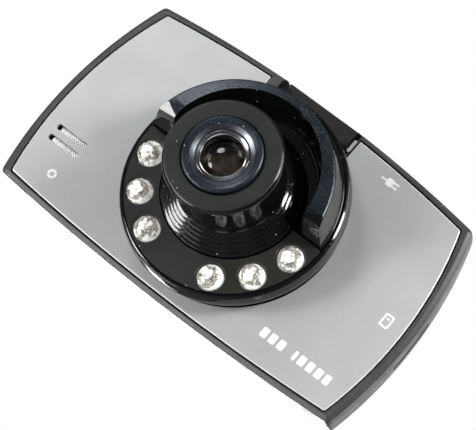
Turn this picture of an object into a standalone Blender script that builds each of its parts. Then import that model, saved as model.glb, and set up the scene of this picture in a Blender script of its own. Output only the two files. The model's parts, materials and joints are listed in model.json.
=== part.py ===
"""Dash camera with a fixed lens turret, six rear keys and a recessed reset button.

Every piece hangs on the empty camera_datum, whose own frame has its origin where the lens axis
crosses the face panel: x to the right seen from the front, z up, and y into the camera. Heights
here are measured from the face panel towards the viewer, so y is minus the height. The datum
stands so that the world origin is the middle of the seat in the bracket socket at the top.
"""

import math

import bmesh
import bpy
from mathutils import Vector

MM = 0.001
CLEAR = 0.3 * MM  # gap between neighbouring pieces

# Casing outline: four arcs between rounded corners, narrower at the top.
CASE_TOP_HALF = 43.75 * MM
CASE_BOTTOM_HALF = 46.75 * MM
CASE_TOP_Z = 25.95 * MM
CASE_BOTTOM_Z = -25.85 * MM
CASE_CORNER = 3.6 * MM
CASE_DEPTH = 12.5 * MM
WALL = 1.5 * MM
BULGE_SIDE = 3.55 * MM
BULGE_TOP = 3.08 * MM
BULGE_BOTTOM = 1.76 * MM

# Face panel let into the front shell.
PANEL_TOP_HALF = 41.6 * MM
PANEL_BOTTOM_HALF = 44.6 * MM
PANEL_HALF_HEIGHT = 24.36 * MM
PANEL_CORNER = 0.5 * MM
PANEL_THICK = 1.0 * MM
RIM_HEIGHT = 0.2 * MM
NOTCH_LEFT = -13.8 * MM
NOTCH_RIGHT = 11.35 * MM

# Heights of the layers through the body, from the panel's face backwards.
WALL_FACE = -PANEL_THICK - CLEAR
WALL_BACK = WALL_FACE - WALL
PARTING = -7.0 * MM
BOARD_FRONT = -6.6 * MM
BOARD_BACK = -7.6 * MM
REAR_WALL_FRONT = -10.8 * MM

# Bracket socket: a pocket open at the top and the front, with a groove down each side.
SEAT_Z = 24.3 * MM
SOCKET_HALF = 9.9 * MM
SOCKET_DEPTH = 4.55 * MM
SOCKET_WALL = 0.9 * MM
SOCKET_LIP = 0.35 * MM
SOCKET_SIDE_TOP = 28.6 * MM
SOCKET_BACK_TOP = 29.85 * MM
GROOVE = 0.55 * MM

# Turret.
DRUM_RADIUS = 25.0 * MM
DRUM_FOOT = 23.9 * MM
DRUM_TOP = 7.9 * MM
LEDGE = 6.4 * MM
PLATE_RADIUS = 23.7 * MM
PLATE_TOP = 8.2 * MM
PLATE_EDGE_Z = 0.6 * MM
HOOD_RADIUS = 23.45 * MM
HOOD_TOP_RADIUS = 22.4 * MM
HOOD_TOP = 15.9 * MM
HOOD_FOOT_Z = 0.9 * MM
BOWL_RADIUS = 18.1 * MM
BOWL_RAISED = 2.4 * MM
BOWL_FLOOR = 7.5 * MM
OPENING_RADIUS = 19.0 * MM
TURRET_BOSS_RING = 21.2 * MM
TURRET_BOSS = 1.9 * MM
TURRET_SCREW_ANGLES = (-90.0, 30.0, 150.0)

# Lens barrel.
FOOT_RADIUS = 15.7 * MM
RIB_COUNT = 5
RIB_STEP = 0.76 * MM
RIB_RISE = 0.85 * MM
NECK_RADIUS = 11.7 * MM
FLANGE_RADIUS = 13.0 * MM
FLANGE_FACE = 26.7 * MM
TRIM_RADIUS = 8.7 * MM
TRIM_TOP = 27.6 * MM
BARREL_BORE = 7.6 * MM
TUBE_RADIUS = 6.0 * MM
TUBE_TOP = 24.9 * MM

# Lamps: six round lamps on one circle under the hood.
LAMP_RING = 20.3 * MM
LAMP_RADIUS = 2.75 * MM
LAMP_TOP = 9.6 * MM
LAMP_ANGLES = (-76.8, -51.6, -26.3, 26.3, 51.6, 76.8)  # degrees from straight down
LAMP_BOARD_BACK = 3.5 * MM
LAMP_BOARD_FRONT = 4.5 * MM

# Speaker slots near the left end.
SPEAKER_X = -39.3 * MM
SPEAKER_Z = -11.75 * MM
SPEAKER_RADIUS = 5.6 * MM
SLOT_LENGTH = 8.6 * MM
SLOT_WIDTH = 1.4 * MM
SLOT_SPACING = 2.9 * MM

# Sockets in the edges.
USB_X = 22.8 * MM
CARD_Z = -1.0 * MM
RESET_X = -37.2 * MM
RESET_HEIGHT = -4.7 * MM
RESET_TIP_Z = -24.5 * MM

# Rear face.
WINDOW = (58.4 * MM, 41.0 * MM)
APERTURE = (50.0 * MM, 38.0 * MM)
LCD = (56.0 * MM, 39.4 * MM)
KEY_WIDTH = 4.6 * MM
KEY_HEIGHT = 8.6 * MM
KEY_PROUD = 0.7 * MM
KEYS = {
    "key_power": (40.2 * MM, 12.0 * MM, -6.0),
    "key_menu": (41.3 * MM, 0.0, 0.0),
    "key_mode": (40.9 * MM, -12.0 * MM, 6.0),
    "key_up": (-40.2 * MM, 12.0 * MM, 6.0),
    "key_record": (-41.3 * MM, 0.0, 0.0),
    "key_down": (-40.9 * MM, -12.0 * MM, -6.0),
}
CASE_SCREWS = {
    "case_screw_1": (34.5 * MM, 20.0 * MM),
    "case_screw_2": (-34.5 * MM, 20.0 * MM),
    "case_screw_3": (32.2 * MM, -20.4 * MM),
    "case_screw_4": (-32.2 * MM, -20.4 * MM),
}
MIC_X = 10.0 * MM
MIC_Z = -22.2 * MM


def clear_scene():
    for obj in list(bpy.data.objects):
        bpy.data.objects.remove(obj, do_unlink=True)


# ---------------------------------------------------------------- materials

FINISHES = {
    "casing_plastic": ((0.035, 0.037, 0.036), 0.55, 0.0),
    "silver_film": ((0.42, 0.42, 0.42), 0.42, 0.7),
    "gloss_black": ((0.008, 0.009, 0.010), 0.10, 0.0),
    "satin_black": ((0.020, 0.021, 0.020), 0.42, 0.0),
    "clear_lamp": ((0.85, 0.86, 0.84), 0.06, 0.6),
    "coated_glass": ((0.06, 0.05, 0.05), 0.03, 0.0),
    "plated_ring": ((0.62, 0.63, 0.64), 0.16, 1.0),
    "board_green": ((0.02, 0.12, 0.05), 0.45, 0.0),
    "chip_black": ((0.02, 0.02, 0.022), 0.60, 0.0),
    "tin_plate": ((0.60, 0.60, 0.58), 0.30, 1.0),
    "screw_steel": ((0.35, 0.35, 0.36), 0.35, 1.0),
    "battery_foil": ((0.55, 0.56, 0.58), 0.38, 0.9),
    "speaker_cone": ((0.05, 0.05, 0.055), 0.70, 0.0),
    "flex_film": ((0.50, 0.28, 0.08), 0.40, 0.0),
    "window_glass": ((0.010, 0.011, 0.014), 0.05, 0.0),
}


def finish(name):
    """The material of that name, made on its first use."""
    material = bpy.data.materials.get(name)
    if material:
        return material
    colour, roughness, metallic = FINISHES[name]
    material = bpy.data.materials.new(name)
    material.use_nodes = True
    shader = material.node_tree.nodes["Principled BSDF"]
    shader.inputs["Base Color"].default_value = (*colour, 1.0)
    shader.inputs["Roughness"].default_value = roughness
    shader.inputs["Metallic"].default_value = metallic
    material.diffuse_color = (*colour, 1.0)
    return material


# ---------------------------------------------------------------- objects

DATUM = {}


def make_object(name, bm, material, place=(0.0, 0.0, 0.0)):
    """A named object on the datum from a bmesh, with its origin at place."""
    bmesh.ops.remove_doubles(bm, verts=bm.verts, dist=1e-7)
    bmesh.ops.recalc_face_normals(bm, faces=bm.faces)
    mesh = bpy.data.meshes.new(name)
    bm.to_mesh(mesh)
    bm.free()
    mesh.shade_smooth()
    mesh.set_sharp_from_angle(angle=math.radians(32.0))
    if material:
        mesh.materials.append(finish(material))
    obj = bpy.data.objects.new(name, mesh)
    bpy.context.scene.collection.objects.link(obj)
    obj.parent = DATUM["empty"]
    obj.location = place
    return obj


def helper(name, bm):
    """A cutter or an addition for a Boolean, left out of the model itself."""
    obj = make_object(name, bm, None)
    obj.hide_render = True
    obj.display_type = "WIRE"
    return obj


def combine(target, other, operation):
    modifier = target.modifiers.new(other.name, "BOOLEAN")
    modifier.operation = operation
    modifier.solver = "EXACT"
    modifier.object = other


# ---------------------------------------------------------------- shapes

def add_loft(bm, rings):
    """Closed skin over rings of equal count; each ring is (points, height) and the ends are capped."""
    loops = [[bm.verts.new((x, -height, z)) for x, z in points] for points, height in rings]
    for lower, upper in zip(loops, loops[1:]):
        count = len(lower)
        for i in range(count):
            j = (i + 1) % count
            bm.faces.new((lower[i], lower[j], upper[j], upper[i]))
    bm.faces.new(loops[0])
    bm.faces.new(loops[-1])


def add_prism(bm, points, low, high):
    """The outline of points, extruded between two heights."""
    face = bm.faces.new([bm.verts.new((x, -low, z)) for x, z in points])
    extruded = bmesh.ops.extrude_face_region(bm, geom=[face])
    moved = [item for item in extruded["geom"] if isinstance(item, bmesh.types.BMVert)]
    bmesh.ops.translate(bm, vec=(0.0, low - high, 0.0), verts=moved)


def add_side_prism(bm, points, low, high):
    """The outline of (z, height) points, extruded along x."""
    face = bm.faces.new([bm.verts.new((low, -height, z)) for z, height in points])
    extruded = bmesh.ops.extrude_face_region(bm, geom=[face])
    moved = [item for item in extruded["geom"] if isinstance(item, bmesh.types.BMVert)]
    bmesh.ops.translate(bm, vec=(high - low, 0.0, 0.0), verts=moved)


def add_box(bm, x, z, height):
    """A box between the pairs x, z and height."""
    corners = ((x[0], z[0]), (x[1], z[0]), (x[1], z[1]), (x[0], z[1]))
    add_prism(bm, corners, height[0], height[1])


def add_disc(bm, x, z, radius, low, high, segments=24):
    add_prism(bm, circle(radius, segments, x, z), low, high)


def add_turned(bm, profile, segments=48, x=0.0, z=0.0):
    """The profile of (radius, height), turned about the axis through x and z.

    A profile that starts and ends at radius 0 makes a solid; any other is closed on itself.
    """
    points = [bm.verts.new((x + radius, -height, z)) for radius, height in profile]
    edges = [bm.edges.new(pair) for pair in zip(points, points[1:])]
    if profile[0][0] > 0.0:
        edges.append(bm.edges.new((points[-1], points[0])))
    bmesh.ops.spin(
        bm,
        geom=points + edges,
        cent=(x, 0.0, z),
        axis=(0.0, 1.0, 0.0),
        angle=2.0 * math.pi,
        steps=segments,
        use_merge=True,
    )
    bmesh.ops.remove_doubles(bm, verts=bm.verts, dist=1e-6)


def circle(radius, segments, x=0.0, z=0.0):
    turns = [2.0 * math.pi * i / segments for i in range(segments)]
    return [(x + radius * math.cos(turn), z + radius * math.sin(turn)) for turn in turns]


def rounded_rectangle(width, height, radius, steps=4, x=0.0, z=0.0, tilt=0.0):
    """Outline of a rectangle with round corners, turned by tilt degrees about its middle."""
    points = []
    for sign_x, sign_z, start in ((1, 1, 0), (-1, 1, 90), (-1, -1, 180), (1, -1, 270)):
        middle_x = sign_x * (width / 2.0 - radius)
        middle_z = sign_z * (height / 2.0 - radius)
        for step in range(steps + 1):
            turn = math.radians(start + 90.0 * step / steps)
            points.append((middle_x + radius * math.cos(turn), middle_z + radius * math.sin(turn)))
    cos_tilt = math.cos(math.radians(tilt))
    sin_tilt = math.sin(math.radians(tilt))
    return [(x + px * cos_tilt - pz * sin_tilt, z + px * sin_tilt + pz * cos_tilt) for px, pz in points]


def side_arc(start, end, bulge):
    """Centre and radius of the arc from start to end that stands bulge outside their line."""
    chord = end - start
    radius = (chord.length ** 2 / 4.0 + bulge ** 2) / (2.0 * bulge)
    outward = Vector((chord.y, -chord.x)).normalized()
    return (start + end) / 2.0 - outward * (radius - bulge), radius


def meeting_point(first, second, near):
    """Where two circles cross, nearest to the given point."""
    line = second[0] - first[0]
    along = (first[1] ** 2 - second[1] ** 2 + line.length ** 2) / (2.0 * line.length)
    across = math.sqrt(first[1] ** 2 - along ** 2)
    foot = first[0] + line.normalized() * along
    side = Vector((-line.y, line.x)).normalized() * across
    return min((foot + side, foot - side), key=lambda point: (point - near).length)


def barrel_outline(top_half, bottom_half, top_z, bottom_z, corner, offset=0.0):
    """The body's outline, moved outwards by offset: four bulging sides and four round corners."""
    corners = [
        Vector((-bottom_half, bottom_z)),
        Vector((bottom_half, bottom_z)),
        Vector((top_half, top_z)),
        Vector((-top_half, top_z)),
    ]
    bulges = (BULGE_BOTTOM, BULGE_SIDE, BULGE_TOP, BULGE_SIDE)
    counts = (9, 7, 9, 7)
    arcs = [side_arc(corners[i], corners[(i + 1) % 4], bulges[i]) for i in range(4)]
    fillets = []
    for i in range(4):
        before = (arcs[i - 1][0], arcs[i - 1][1] - corner)
        after = (arcs[i][0], arcs[i][1] - corner)
        fillets.append(meeting_point(before, after, corners[i]))
    points = []
    for i in range(4):
        centre, radius = arcs[i]
        directions = [fillets[i] - arcs[i - 1][0], fillets[i] - centre]
        first, last = (math.atan2(d.y, d.x) for d in directions)
        points += arc_points(fillets[i], corner + offset, first, last, 3)
        until = fillets[(i + 1) % 4] - centre
        side = arc_points(centre, radius + offset, last, math.atan2(until.y, until.x), counts[i])
        points += side[1:-1]
    return points


def arc_points(centre, radius, first, last, steps):
    """Points on an arc, counter-clockwise from the first angle to the last."""
    sweep = (last - first) % (2.0 * math.pi)
    turns = [first + sweep * step / steps for step in range(steps + 1)]
    return [(centre.x + radius * math.cos(t), centre.y + radius * math.sin(t)) for t in turns]


def case_outline(offset):
    return barrel_outline(
        CASE_TOP_HALF, CASE_BOTTOM_HALF, CASE_TOP_Z, CASE_BOTTOM_Z, CASE_CORNER, offset
    )


def panel_outline(offset):
    return barrel_outline(
        PANEL_TOP_HALF,
        PANEL_BOTTOM_HALF,
        PANEL_HALF_HEIGHT,
        -PANEL_HALF_HEIGHT,
        PANEL_CORNER,
        offset,
    )


def lamp_places():
    for degrees in LAMP_ANGLES:
        turn = math.radians(degrees)
        yield LAMP_RING * math.sin(turn), -LAMP_RING * math.cos(turn)


def turret_screw_places():
    for degrees in TURRET_SCREW_ANGLES:
        turn = math.radians(degrees)
        yield TURRET_BOSS_RING * math.cos(turn), TURRET_BOSS_RING * math.sin(turn)


# ---------------------------------------------------------------- casing

def front_shell():
    bm = bmesh.new()
    add_loft(bm, [
        (case_outline(-WALL), WALL_BACK),
        (case_outline(-WALL - 0.4 * MM), PARTING),
        (case_outline(-0.4 * MM), PARTING),
        (case_outline(0.0), -3.6 * MM),
        (case_outline(0.0), -0.5 * MM),
        (case_outline(-0.25 * MM), 0.0),
        (case_outline(-0.7 * MM), RIM_HEIGHT),
        (panel_outline(CLEAR), RIM_HEIGHT),
        (panel_outline(CLEAR), WALL_FACE),
    ])
    shell = make_object("front_shell", bm, "casing_plastic")

    added = bmesh.new()
    bridge = (NOTCH_LEFT + CLEAR, NOTCH_RIGHT - CLEAR)
    add_box(added, bridge, (21.0 * MM, 28.4 * MM), (WALL_FACE - 0.5 * MM, 0.0))
    for x, z in CASE_SCREWS.values():
        add_disc(added, x, z, 2.4 * MM, WALL_BACK + 0.5 * MM, BOARD_FRONT + 1.2 * MM, 16)
    combine(shell, helper("front_shell_added", added), "UNION")

    opening = bmesh.new()
    add_turned(opening, [
        (0.0, WALL_BACK - 1.0 * MM),
        (OPENING_RADIUS, WALL_BACK - 1.0 * MM),
        (OPENING_RADIUS, WALL_FACE),
        (DRUM_FOOT + CLEAR, WALL_FACE),
        (DRUM_FOOT + CLEAR, 1.0 * MM),
        (0.0, 1.0 * MM),
    ], 40)
    combine(shell, helper("turret_opening", opening), "DIFFERENCE")

    cut = bmesh.new()
    for x, z in turret_screw_places():
        add_disc(cut, x, z, 1.1 * MM, WALL_BACK - 1.0 * MM, WALL_FACE + 0.5 * MM, 12)
    for x, z in CASE_SCREWS.values():
        add_disc(cut, x, z, 1.15 * MM, -3.4 * MM, PARTING, 12)
    for z in (SPEAKER_Z - SLOT_SPACING / 2.0, SPEAKER_Z + SLOT_SPACING / 2.0):
        slot = rounded_rectangle(SLOT_LENGTH, SLOT_WIDTH, SLOT_WIDTH * 0.49, 3, SPEAKER_X, z)
        add_prism(cut, slot, -2.1 * MM, WALL_FACE + 0.5 * MM)
    mesh_x = (SPEAKER_X - 5.4 * MM, SPEAKER_X + 5.4 * MM)
    mesh_z = (SPEAKER_Z - 3.4 * MM, SPEAKER_Z + 3.4 * MM)
    add_box(cut, mesh_x, mesh_z, (WALL_BACK - 0.5 * MM, -2.0 * MM))
    usb_x = (USB_X - 4.1 * MM, USB_X + 4.1 * MM)
    add_box(cut, usb_x, (24.0 * MM, 32.0 * MM), (-6.5 * MM, -2.9 * MM))
    card_z = (CARD_Z - 6.3 * MM, CARD_Z + 6.3 * MM)
    add_box(cut, (44.5 * MM, 52.0 * MM), card_z, (-6.2 * MM, -4.5 * MM))
    combine(shell, helper("front_shell_cut", cut), "DIFFERENCE")

    pocket = bmesh.new()
    half = SOCKET_HALF + SOCKET_WALL + CLEAR
    low = SEAT_Z - SOCKET_WALL - CLEAR
    deep = -SOCKET_DEPTH - SOCKET_WALL - CLEAR
    add_box(pocket, (-half, half), (low, 33.0 * MM), (deep, 2.0 * MM))
    combine(shell, helper("socket_notch", pocket), "DIFFERENCE")

    pin = bmesh.new()
    bmesh.ops.create_cone(
        pin, cap_ends=True, segments=12, radius1=0.8 * MM, radius2=0.8 * MM, depth=4.0 * MM
    )
    bmesh.ops.translate(pin, vec=(RESET_X, -RESET_HEIGHT, -26.0 * MM), verts=pin.verts)
    combine(shell, helper("reset_hole", pin), "DIFFERENCE")


def rear_shell():
    bm = bmesh.new()
    start = PARTING - CLEAR
    add_loft(bm, [
        (case_outline(-3.5 * MM), REAR_WALL_FRONT),
        (case_outline(-2.5 * MM), -9.6 * MM),
        (case_outline(-2.0 * MM), start),
        (case_outline(-0.5 * MM), start),
        (case_outline(-0.9 * MM), -9.8 * MM),
        (case_outline(-1.7 * MM), -11.4 * MM),
        (case_outline(-3.2 * MM), -12.3 * MM),
        (case_outline(-3.5 * MM), -CASE_DEPTH),
    ])
    shell = make_object("rear_shell", bm, "casing_plastic")

    added = bmesh.new()
    for x, z in CASE_SCREWS.values():
        add_disc(added, x, z, 3.1 * MM, REAR_WALL_FRONT - 0.5 * MM, BOARD_BACK - CLEAR, 16)
    combine(shell, helper("rear_shell_added", added), "UNION")

    cut = bmesh.new()
    add_prism(cut, rounded_rectangle(*APERTURE, 1.5 * MM, 3), -11.3 * MM, REAR_WALL_FRONT + 1.0 * MM)
    recess = rounded_rectangle(WINDOW[0] + 2 * CLEAR, WINDOW[1] + 2 * CLEAR, 2.3 * MM, 4)
    add_prism(cut, recess, -CASE_DEPTH - 1.0 * MM, -11.2 * MM)
    for x, z in CASE_SCREWS.values():
        add_turned(cut, [
            (0.0, PARTING),
            (1.15 * MM, PARTING),
            (1.15 * MM, -10.9 * MM),
            (2.1 * MM, -10.9 * MM),
            (2.1 * MM, -CASE_DEPTH - 1.0 * MM),
            (0.0, -CASE_DEPTH - 1.0 * MM),
        ], 12, x, z)
    for x, z, tilt in KEYS.values():
        width = KEY_WIDTH + 2 * CLEAR
        hole = rounded_rectangle(width, KEY_HEIGHT + 2 * CLEAR, width * 0.49, 4, x, z, tilt)
        add_prism(cut, hole, -CASE_DEPTH - 1.0 * MM, REAR_WALL_FRONT + 1.0 * MM)
    add_disc(cut, MIC_X, MIC_Z, 0.5 * MM, -CASE_DEPTH - 1.0 * MM, REAR_WALL_FRONT + 1.0 * MM, 10)
    combine(shell, helper("rear_shell_cut", cut), "DIFFERENCE")


def face_panel():
    bm = bmesh.new()
    add_loft(bm, [(panel_outline(0.0), -PANEL_THICK), (panel_outline(0.0), 0.0)])
    panel = make_object("face_panel", bm, "silver_film")
    cut = bmesh.new()
    through = (-PANEL_THICK - 1.0 * MM, 1.0 * MM)
    add_disc(cut, 0.0, 0.0, DRUM_FOOT + CLEAR, *through, 40)
    for z in (SPEAKER_Z - SLOT_SPACING / 2.0, SPEAKER_Z + SLOT_SPACING / 2.0):
        slot = rounded_rectangle(SLOT_LENGTH, SLOT_WIDTH, SLOT_WIDTH * 0.49, 3, SPEAKER_X, z)
        add_prism(cut, slot, *through)
    combine(panel, helper("face_panel_cut", cut), "DIFFERENCE")
    notch = bmesh.new()
    add_box(notch, (NOTCH_LEFT, NOTCH_RIGHT), (15.0 * MM, 33.0 * MM), through)
    combine(panel, helper("face_panel_notch", notch), "DIFFERENCE")


def bracket_socket():
    """Liner of the pocket: a seat, two grooved sides, and a back that stands proud of the casing."""
    outer = SOCKET_HALF + SOCKET_WALL
    back = -SOCKET_DEPTH - SOCKET_WALL
    bm = bmesh.new()
    side = [
        (SEAT_Z - SOCKET_WALL, back),
        (SEAT_Z - SOCKET_WALL, SOCKET_LIP),
        (SOCKET_SIDE_TOP - 0.4 * MM, SOCKET_LIP),
        (SOCKET_SIDE_TOP, 0.0),
        (SOCKET_SIDE_TOP, -SOCKET_DEPTH),
        (SOCKET_BACK_TOP - 0.2 * MM, -SOCKET_DEPTH),
        (SOCKET_BACK_TOP, -SOCKET_DEPTH - 0.2 * MM),
        (SOCKET_BACK_TOP, back),
    ]
    add_side_prism(bm, side, -outer, outer)
    liner = make_object("bracket_socket", bm, "gloss_black")
    cut = bmesh.new()
    add_box(cut, (-SOCKET_HALF, SOCKET_HALF), (SEAT_Z, SOCKET_BACK_TOP + 2 * MM), (-SOCKET_DEPTH, 2.0 * MM))
    combine(liner, helper("socket_pocket", cut), "DIFFERENCE")
    grooves = bmesh.new()
    half = SOCKET_HALF + GROOVE
    add_box(grooves, (-half, half), (SEAT_Z + 0.6 * MM, SOCKET_BACK_TOP), (-4.0 * MM, -2.2 * MM))
    combine(liner, helper("socket_grooves", grooves), "DIFFERENCE")


def case_screws():
    for name, (x, z) in CASE_SCREWS.items():
        bm = bmesh.new()
        add_turned(bm, [
            (0.0, -12.2 * MM),
            (1.5 * MM, -12.2 * MM),
            (1.8 * MM, -11.9 * MM),
            (1.8 * MM, -11.2 * MM),
            (0.85 * MM, -11.2 * MM),
            (0.85 * MM, -4.3 * MM),
            (0.0, -3.8 * MM),
        ], 10)
        make_object(name, bm, "screw_steel", (x, 0.0, z))


# ---------------------------------------------------------------- turret

def turret_housing():
    bm = bmesh.new()
    add_turned(bm, [
        (DRUM_FOOT, WALL_FACE + CLEAR),
        (DRUM_FOOT, 0.8 * MM),
        (DRUM_RADIUS, 4.3 * MM),
        (DRUM_RADIUS, 5.4 * MM),
        (24.7 * MM, 6.9 * MM),
        (24.3 * MM, DRUM_TOP),
        (PLATE_RADIUS + CLEAR, DRUM_TOP),
        (PLATE_RADIUS + CLEAR, LEDGE),
        (23.4 * MM, LEDGE),
        (23.4 * MM, 3.3 * MM),
        (22.6 * MM, 2.5 * MM),
        (22.6 * MM, WALL_FACE + CLEAR),
    ], 40)
    drum = make_object("turret_housing", bm, "gloss_black")
    added = bmesh.new()
    for x, z in turret_screw_places():
        add_disc(added, x, z, TURRET_BOSS, WALL_FACE + CLEAR, 6.0 * MM, 16)
    combine(drum, helper("turret_bosses", added), "UNION")
    cut = bmesh.new()
    for x, z in turret_screw_places():
        add_disc(cut, x, z, 1.05 * MM, WALL_FACE - 1.0 * MM, 4.6 * MM, 12)
    half = SOCKET_HALF + SOCKET_WALL + CLEAR
    low = SEAT_Z - SOCKET_WALL - CLEAR
    add_box(cut, (-half, half), (low, 33.0 * MM), (-3.0 * MM, SOCKET_LIP + CLEAR))
    combine(drum, helper("turret_housing_cut", cut), "DIFFERENCE")


def lens_hood():
    """Raised crescent round the upper half, with the bowl that surrounds the barrel."""
    bm = bmesh.new()
    add_loft(bm, [
        (circle(PLATE_RADIUS, 40), LEDGE + CLEAR),
        (circle(PLATE_RADIUS, 40), PLATE_TOP),
        (circle(HOOD_RADIUS, 40), PLATE_TOP + 0.3 * MM),
        (circle(HOOD_TOP_RADIUS, 40), HOOD_TOP - 0.3 * MM),
        (circle(HOOD_TOP_RADIUS - 0.3 * MM, 40), HOOD_TOP),
    ])
    hood = make_object("lens_hood", bm, "satin_black")
    bowl = bmesh.new()
    add_loft(bowl, [
        (circle(17.4 * MM, 36), BOWL_FLOOR),
        (circle(18.4 * MM, 36), BOWL_FLOOR + 0.6 * MM),
        (circle(BOWL_RADIUS, 36, 0.0, BOWL_RAISED), HOOD_TOP),
        (circle(BOWL_RADIUS, 36, 0.0, BOWL_RAISED), HOOD_TOP + 2.0 * MM),
    ])
    combine(hood, helper("hood_bowl", bowl), "DIFFERENCE")
    hole = bmesh.new()
    add_disc(hole, 0.0, 0.0, FOOT_RADIUS + CLEAR, LEDGE - 1.0 * MM, BOWL_FLOOR + 1.0 * MM, 36)
    combine(hood, helper("hood_hole", hole), "DIFFERENCE")
    ends = bmesh.new()
    side = [
        (-30.0 * MM, 18.0 * MM),
        (5.2 * MM, 18.0 * MM),
        (4.5 * MM, HOOD_TOP),
        (2.9 * MM, 14.8 * MM),
        (HOOD_FOOT_Z, PLATE_TOP),
        (HOOD_FOOT_Z, 4.0 * MM),
        (-30.0 * MM, 4.0 * MM),
    ]
    add_side_prism(ends, side, -30.0 * MM, 30.0 * MM)
    combine(hood, helper("hood_ends", ends), "DIFFERENCE")


def crescent(outer, inner, top_z, segments):
    """Outline of a flat ring without its part above top_z, which crosses both circles."""
    start = math.pi - math.asin(top_z / outer)
    sweep = math.pi + 2.0 * math.asin(top_z / outer)
    points = []
    for step in range(segments + 1):
        turn = start + sweep * step / segments
        points.append((outer * math.cos(turn), outer * math.sin(turn)))
    start = math.asin(top_z / inner)
    sweep = math.pi + 2.0 * math.asin(top_z / inner)
    for step in range(segments + 1):
        turn = start - sweep * step / segments
        points.append((inner * math.cos(turn), inner * math.sin(turn)))
    return points


def led_plate():
    bm = bmesh.new()
    outline = crescent(PLATE_RADIUS, FOOT_RADIUS + CLEAR, PLATE_EDGE_Z, 24)
    add_prism(bm, outline, LEDGE + CLEAR, PLATE_TOP)
    plate = make_object("led_plate", bm, "satin_black")
    cut = bmesh.new()
    for x, z in lamp_places():
        add_disc(cut, x, z, LAMP_RADIUS + CLEAR, LEDGE - 1.0 * MM, PLATE_TOP + 1.0 * MM, 16)
    combine(plate, helper("led_holes", cut), "DIFFERENCE")


def led_board():
    bm = bmesh.new()
    outline = crescent(23.0 * MM, 17.6 * MM, 0.5 * MM, 18)
    add_prism(bm, outline, LAMP_BOARD_BACK, LAMP_BOARD_FRONT)
    board = make_object("led_board", bm, "board_green")
    cut = bmesh.new()
    x, z = next(turret_screw_places())
    add_box(cut, (x - 2.3 * MM, x + 2.3 * MM), (z - 3.0 * MM, z + 2.3 * MM), (2.0 * MM, 6.0 * MM))
    combine(board, helper("led_board_notch", cut), "DIFFERENCE")


def leds():
    for index, (x, z) in enumerate(lamp_places(), 1):
        base = LAMP_BOARD_FRONT + CLEAR
        shoulder = LAMP_TOP - 1.9 * MM
        profile = [(0.0, base), (LAMP_RADIUS, base), (LAMP_RADIUS, shoulder)]
        for step in range(1, 4):
            turn = math.radians(90.0 * step / 4)
            height = shoulder + 1.9 * MM * math.sin(turn)
            profile.append((LAMP_RADIUS * math.cos(turn), height))
        profile.append((0.0, LAMP_TOP))
        bm = bmesh.new()
        add_turned(bm, profile, 14)
        make_object(f"led_{index}", bm, "clear_lamp", (x, 0.0, z))


def turret_screws():
    for index, (x, z) in enumerate(turret_screw_places(), 1):
        bm = bmesh.new()
        back = WALL_BACK - CLEAR
        add_turned(bm, [
            (0.0, back - 1.2 * MM),
            (1.7 * MM, back - 1.2 * MM),
            (1.7 * MM, back),
            (0.75 * MM, back),
            (0.75 * MM, 3.8 * MM),
            (0.0, 4.2 * MM),
        ], 10)
        make_object(f"turret_screw_{index}", bm, "screw_steel", (x, 0.0, z))


# ---------------------------------------------------------------- lens

def lens_barrel():
    """Ribbed foot, smooth neck and wide front flange, turned in one piece."""
    profile = [
        (17.2 * MM, 5.0 * MM),
        (17.2 * MM, LEDGE),
        (FOOT_RADIUS, LEDGE),
    ]
    height = PLATE_TOP + 0.5 * MM
    for rib in range(RIB_COUNT):
        radius = FOOT_RADIUS - rib * RIB_STEP
        profile.append((radius, height))
        profile.append((radius - RIB_STEP, height + 0.15 * MM))
        height += RIB_RISE
    profile += [
        (NECK_RADIUS, height),
        (NECK_RADIUS - 0.2 * MM, 23.4 * MM),
        (12.3 * MM, 24.2 * MM),
        (FLANGE_RADIUS, 24.9 * MM),
        (FLANGE_RADIUS, FLANGE_FACE - 0.5 * MM),
        (FLANGE_RADIUS - 0.4 * MM, FLANGE_FACE),
        (TRIM_RADIUS + CLEAR, FLANGE_FACE),
        (TRIM_RADIUS + CLEAR, 24.9 * MM),
        (BARREL_BORE, 24.9 * MM),
        (BARREL_BORE, 5.0 * MM),
    ]
    bm = bmesh.new()
    add_turned(bm, profile, 36)
    make_object("lens_barrel", bm, "gloss_black")


def lens_trim_ring():
    bm = bmesh.new()
    add_turned(bm, [
        (TRIM_RADIUS, 25.2 * MM),
        (TRIM_RADIUS, TRIM_TOP - 0.25 * MM),
        (TRIM_RADIUS - 0.25 * MM, TRIM_TOP),
        (7.4 * MM, TRIM_TOP + 0.1 * MM),
        (6.6 * MM, TRIM_TOP - 0.2 * MM),
        (5.9 * MM, TRIM_TOP - 0.7 * MM),
        (5.9 * MM, 25.2 * MM),
    ], 32)
    make_object("lens_trim_ring", bm, "satin_black")


def lens_retaining_ring():
    bm = bmesh.new()
    add_turned(bm, [
        (5.6 * MM, 25.4 * MM),
        (5.6 * MM, 27.1 * MM),
        (5.4 * MM, 27.2 * MM),
        (4.95 * MM, 26.7 * MM),
        (4.95 * MM, 25.4 * MM),
    ], 28)
    make_object("lens_retaining_ring", bm, "plated_ring")


def lens_tube():
    bm = bmesh.new()
    add_turned(bm, [
        (TUBE_RADIUS, 3.0 * MM),
        (TUBE_RADIUS, TUBE_TOP),
        (4.8 * MM, TUBE_TOP),
        (4.8 * MM, 12.0 * MM),
        (3.5 * MM, 12.0 * MM),
        (3.5 * MM, 3.0 * MM),
    ], 24)
    make_object("lens_tube", bm, "satin_black")


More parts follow.
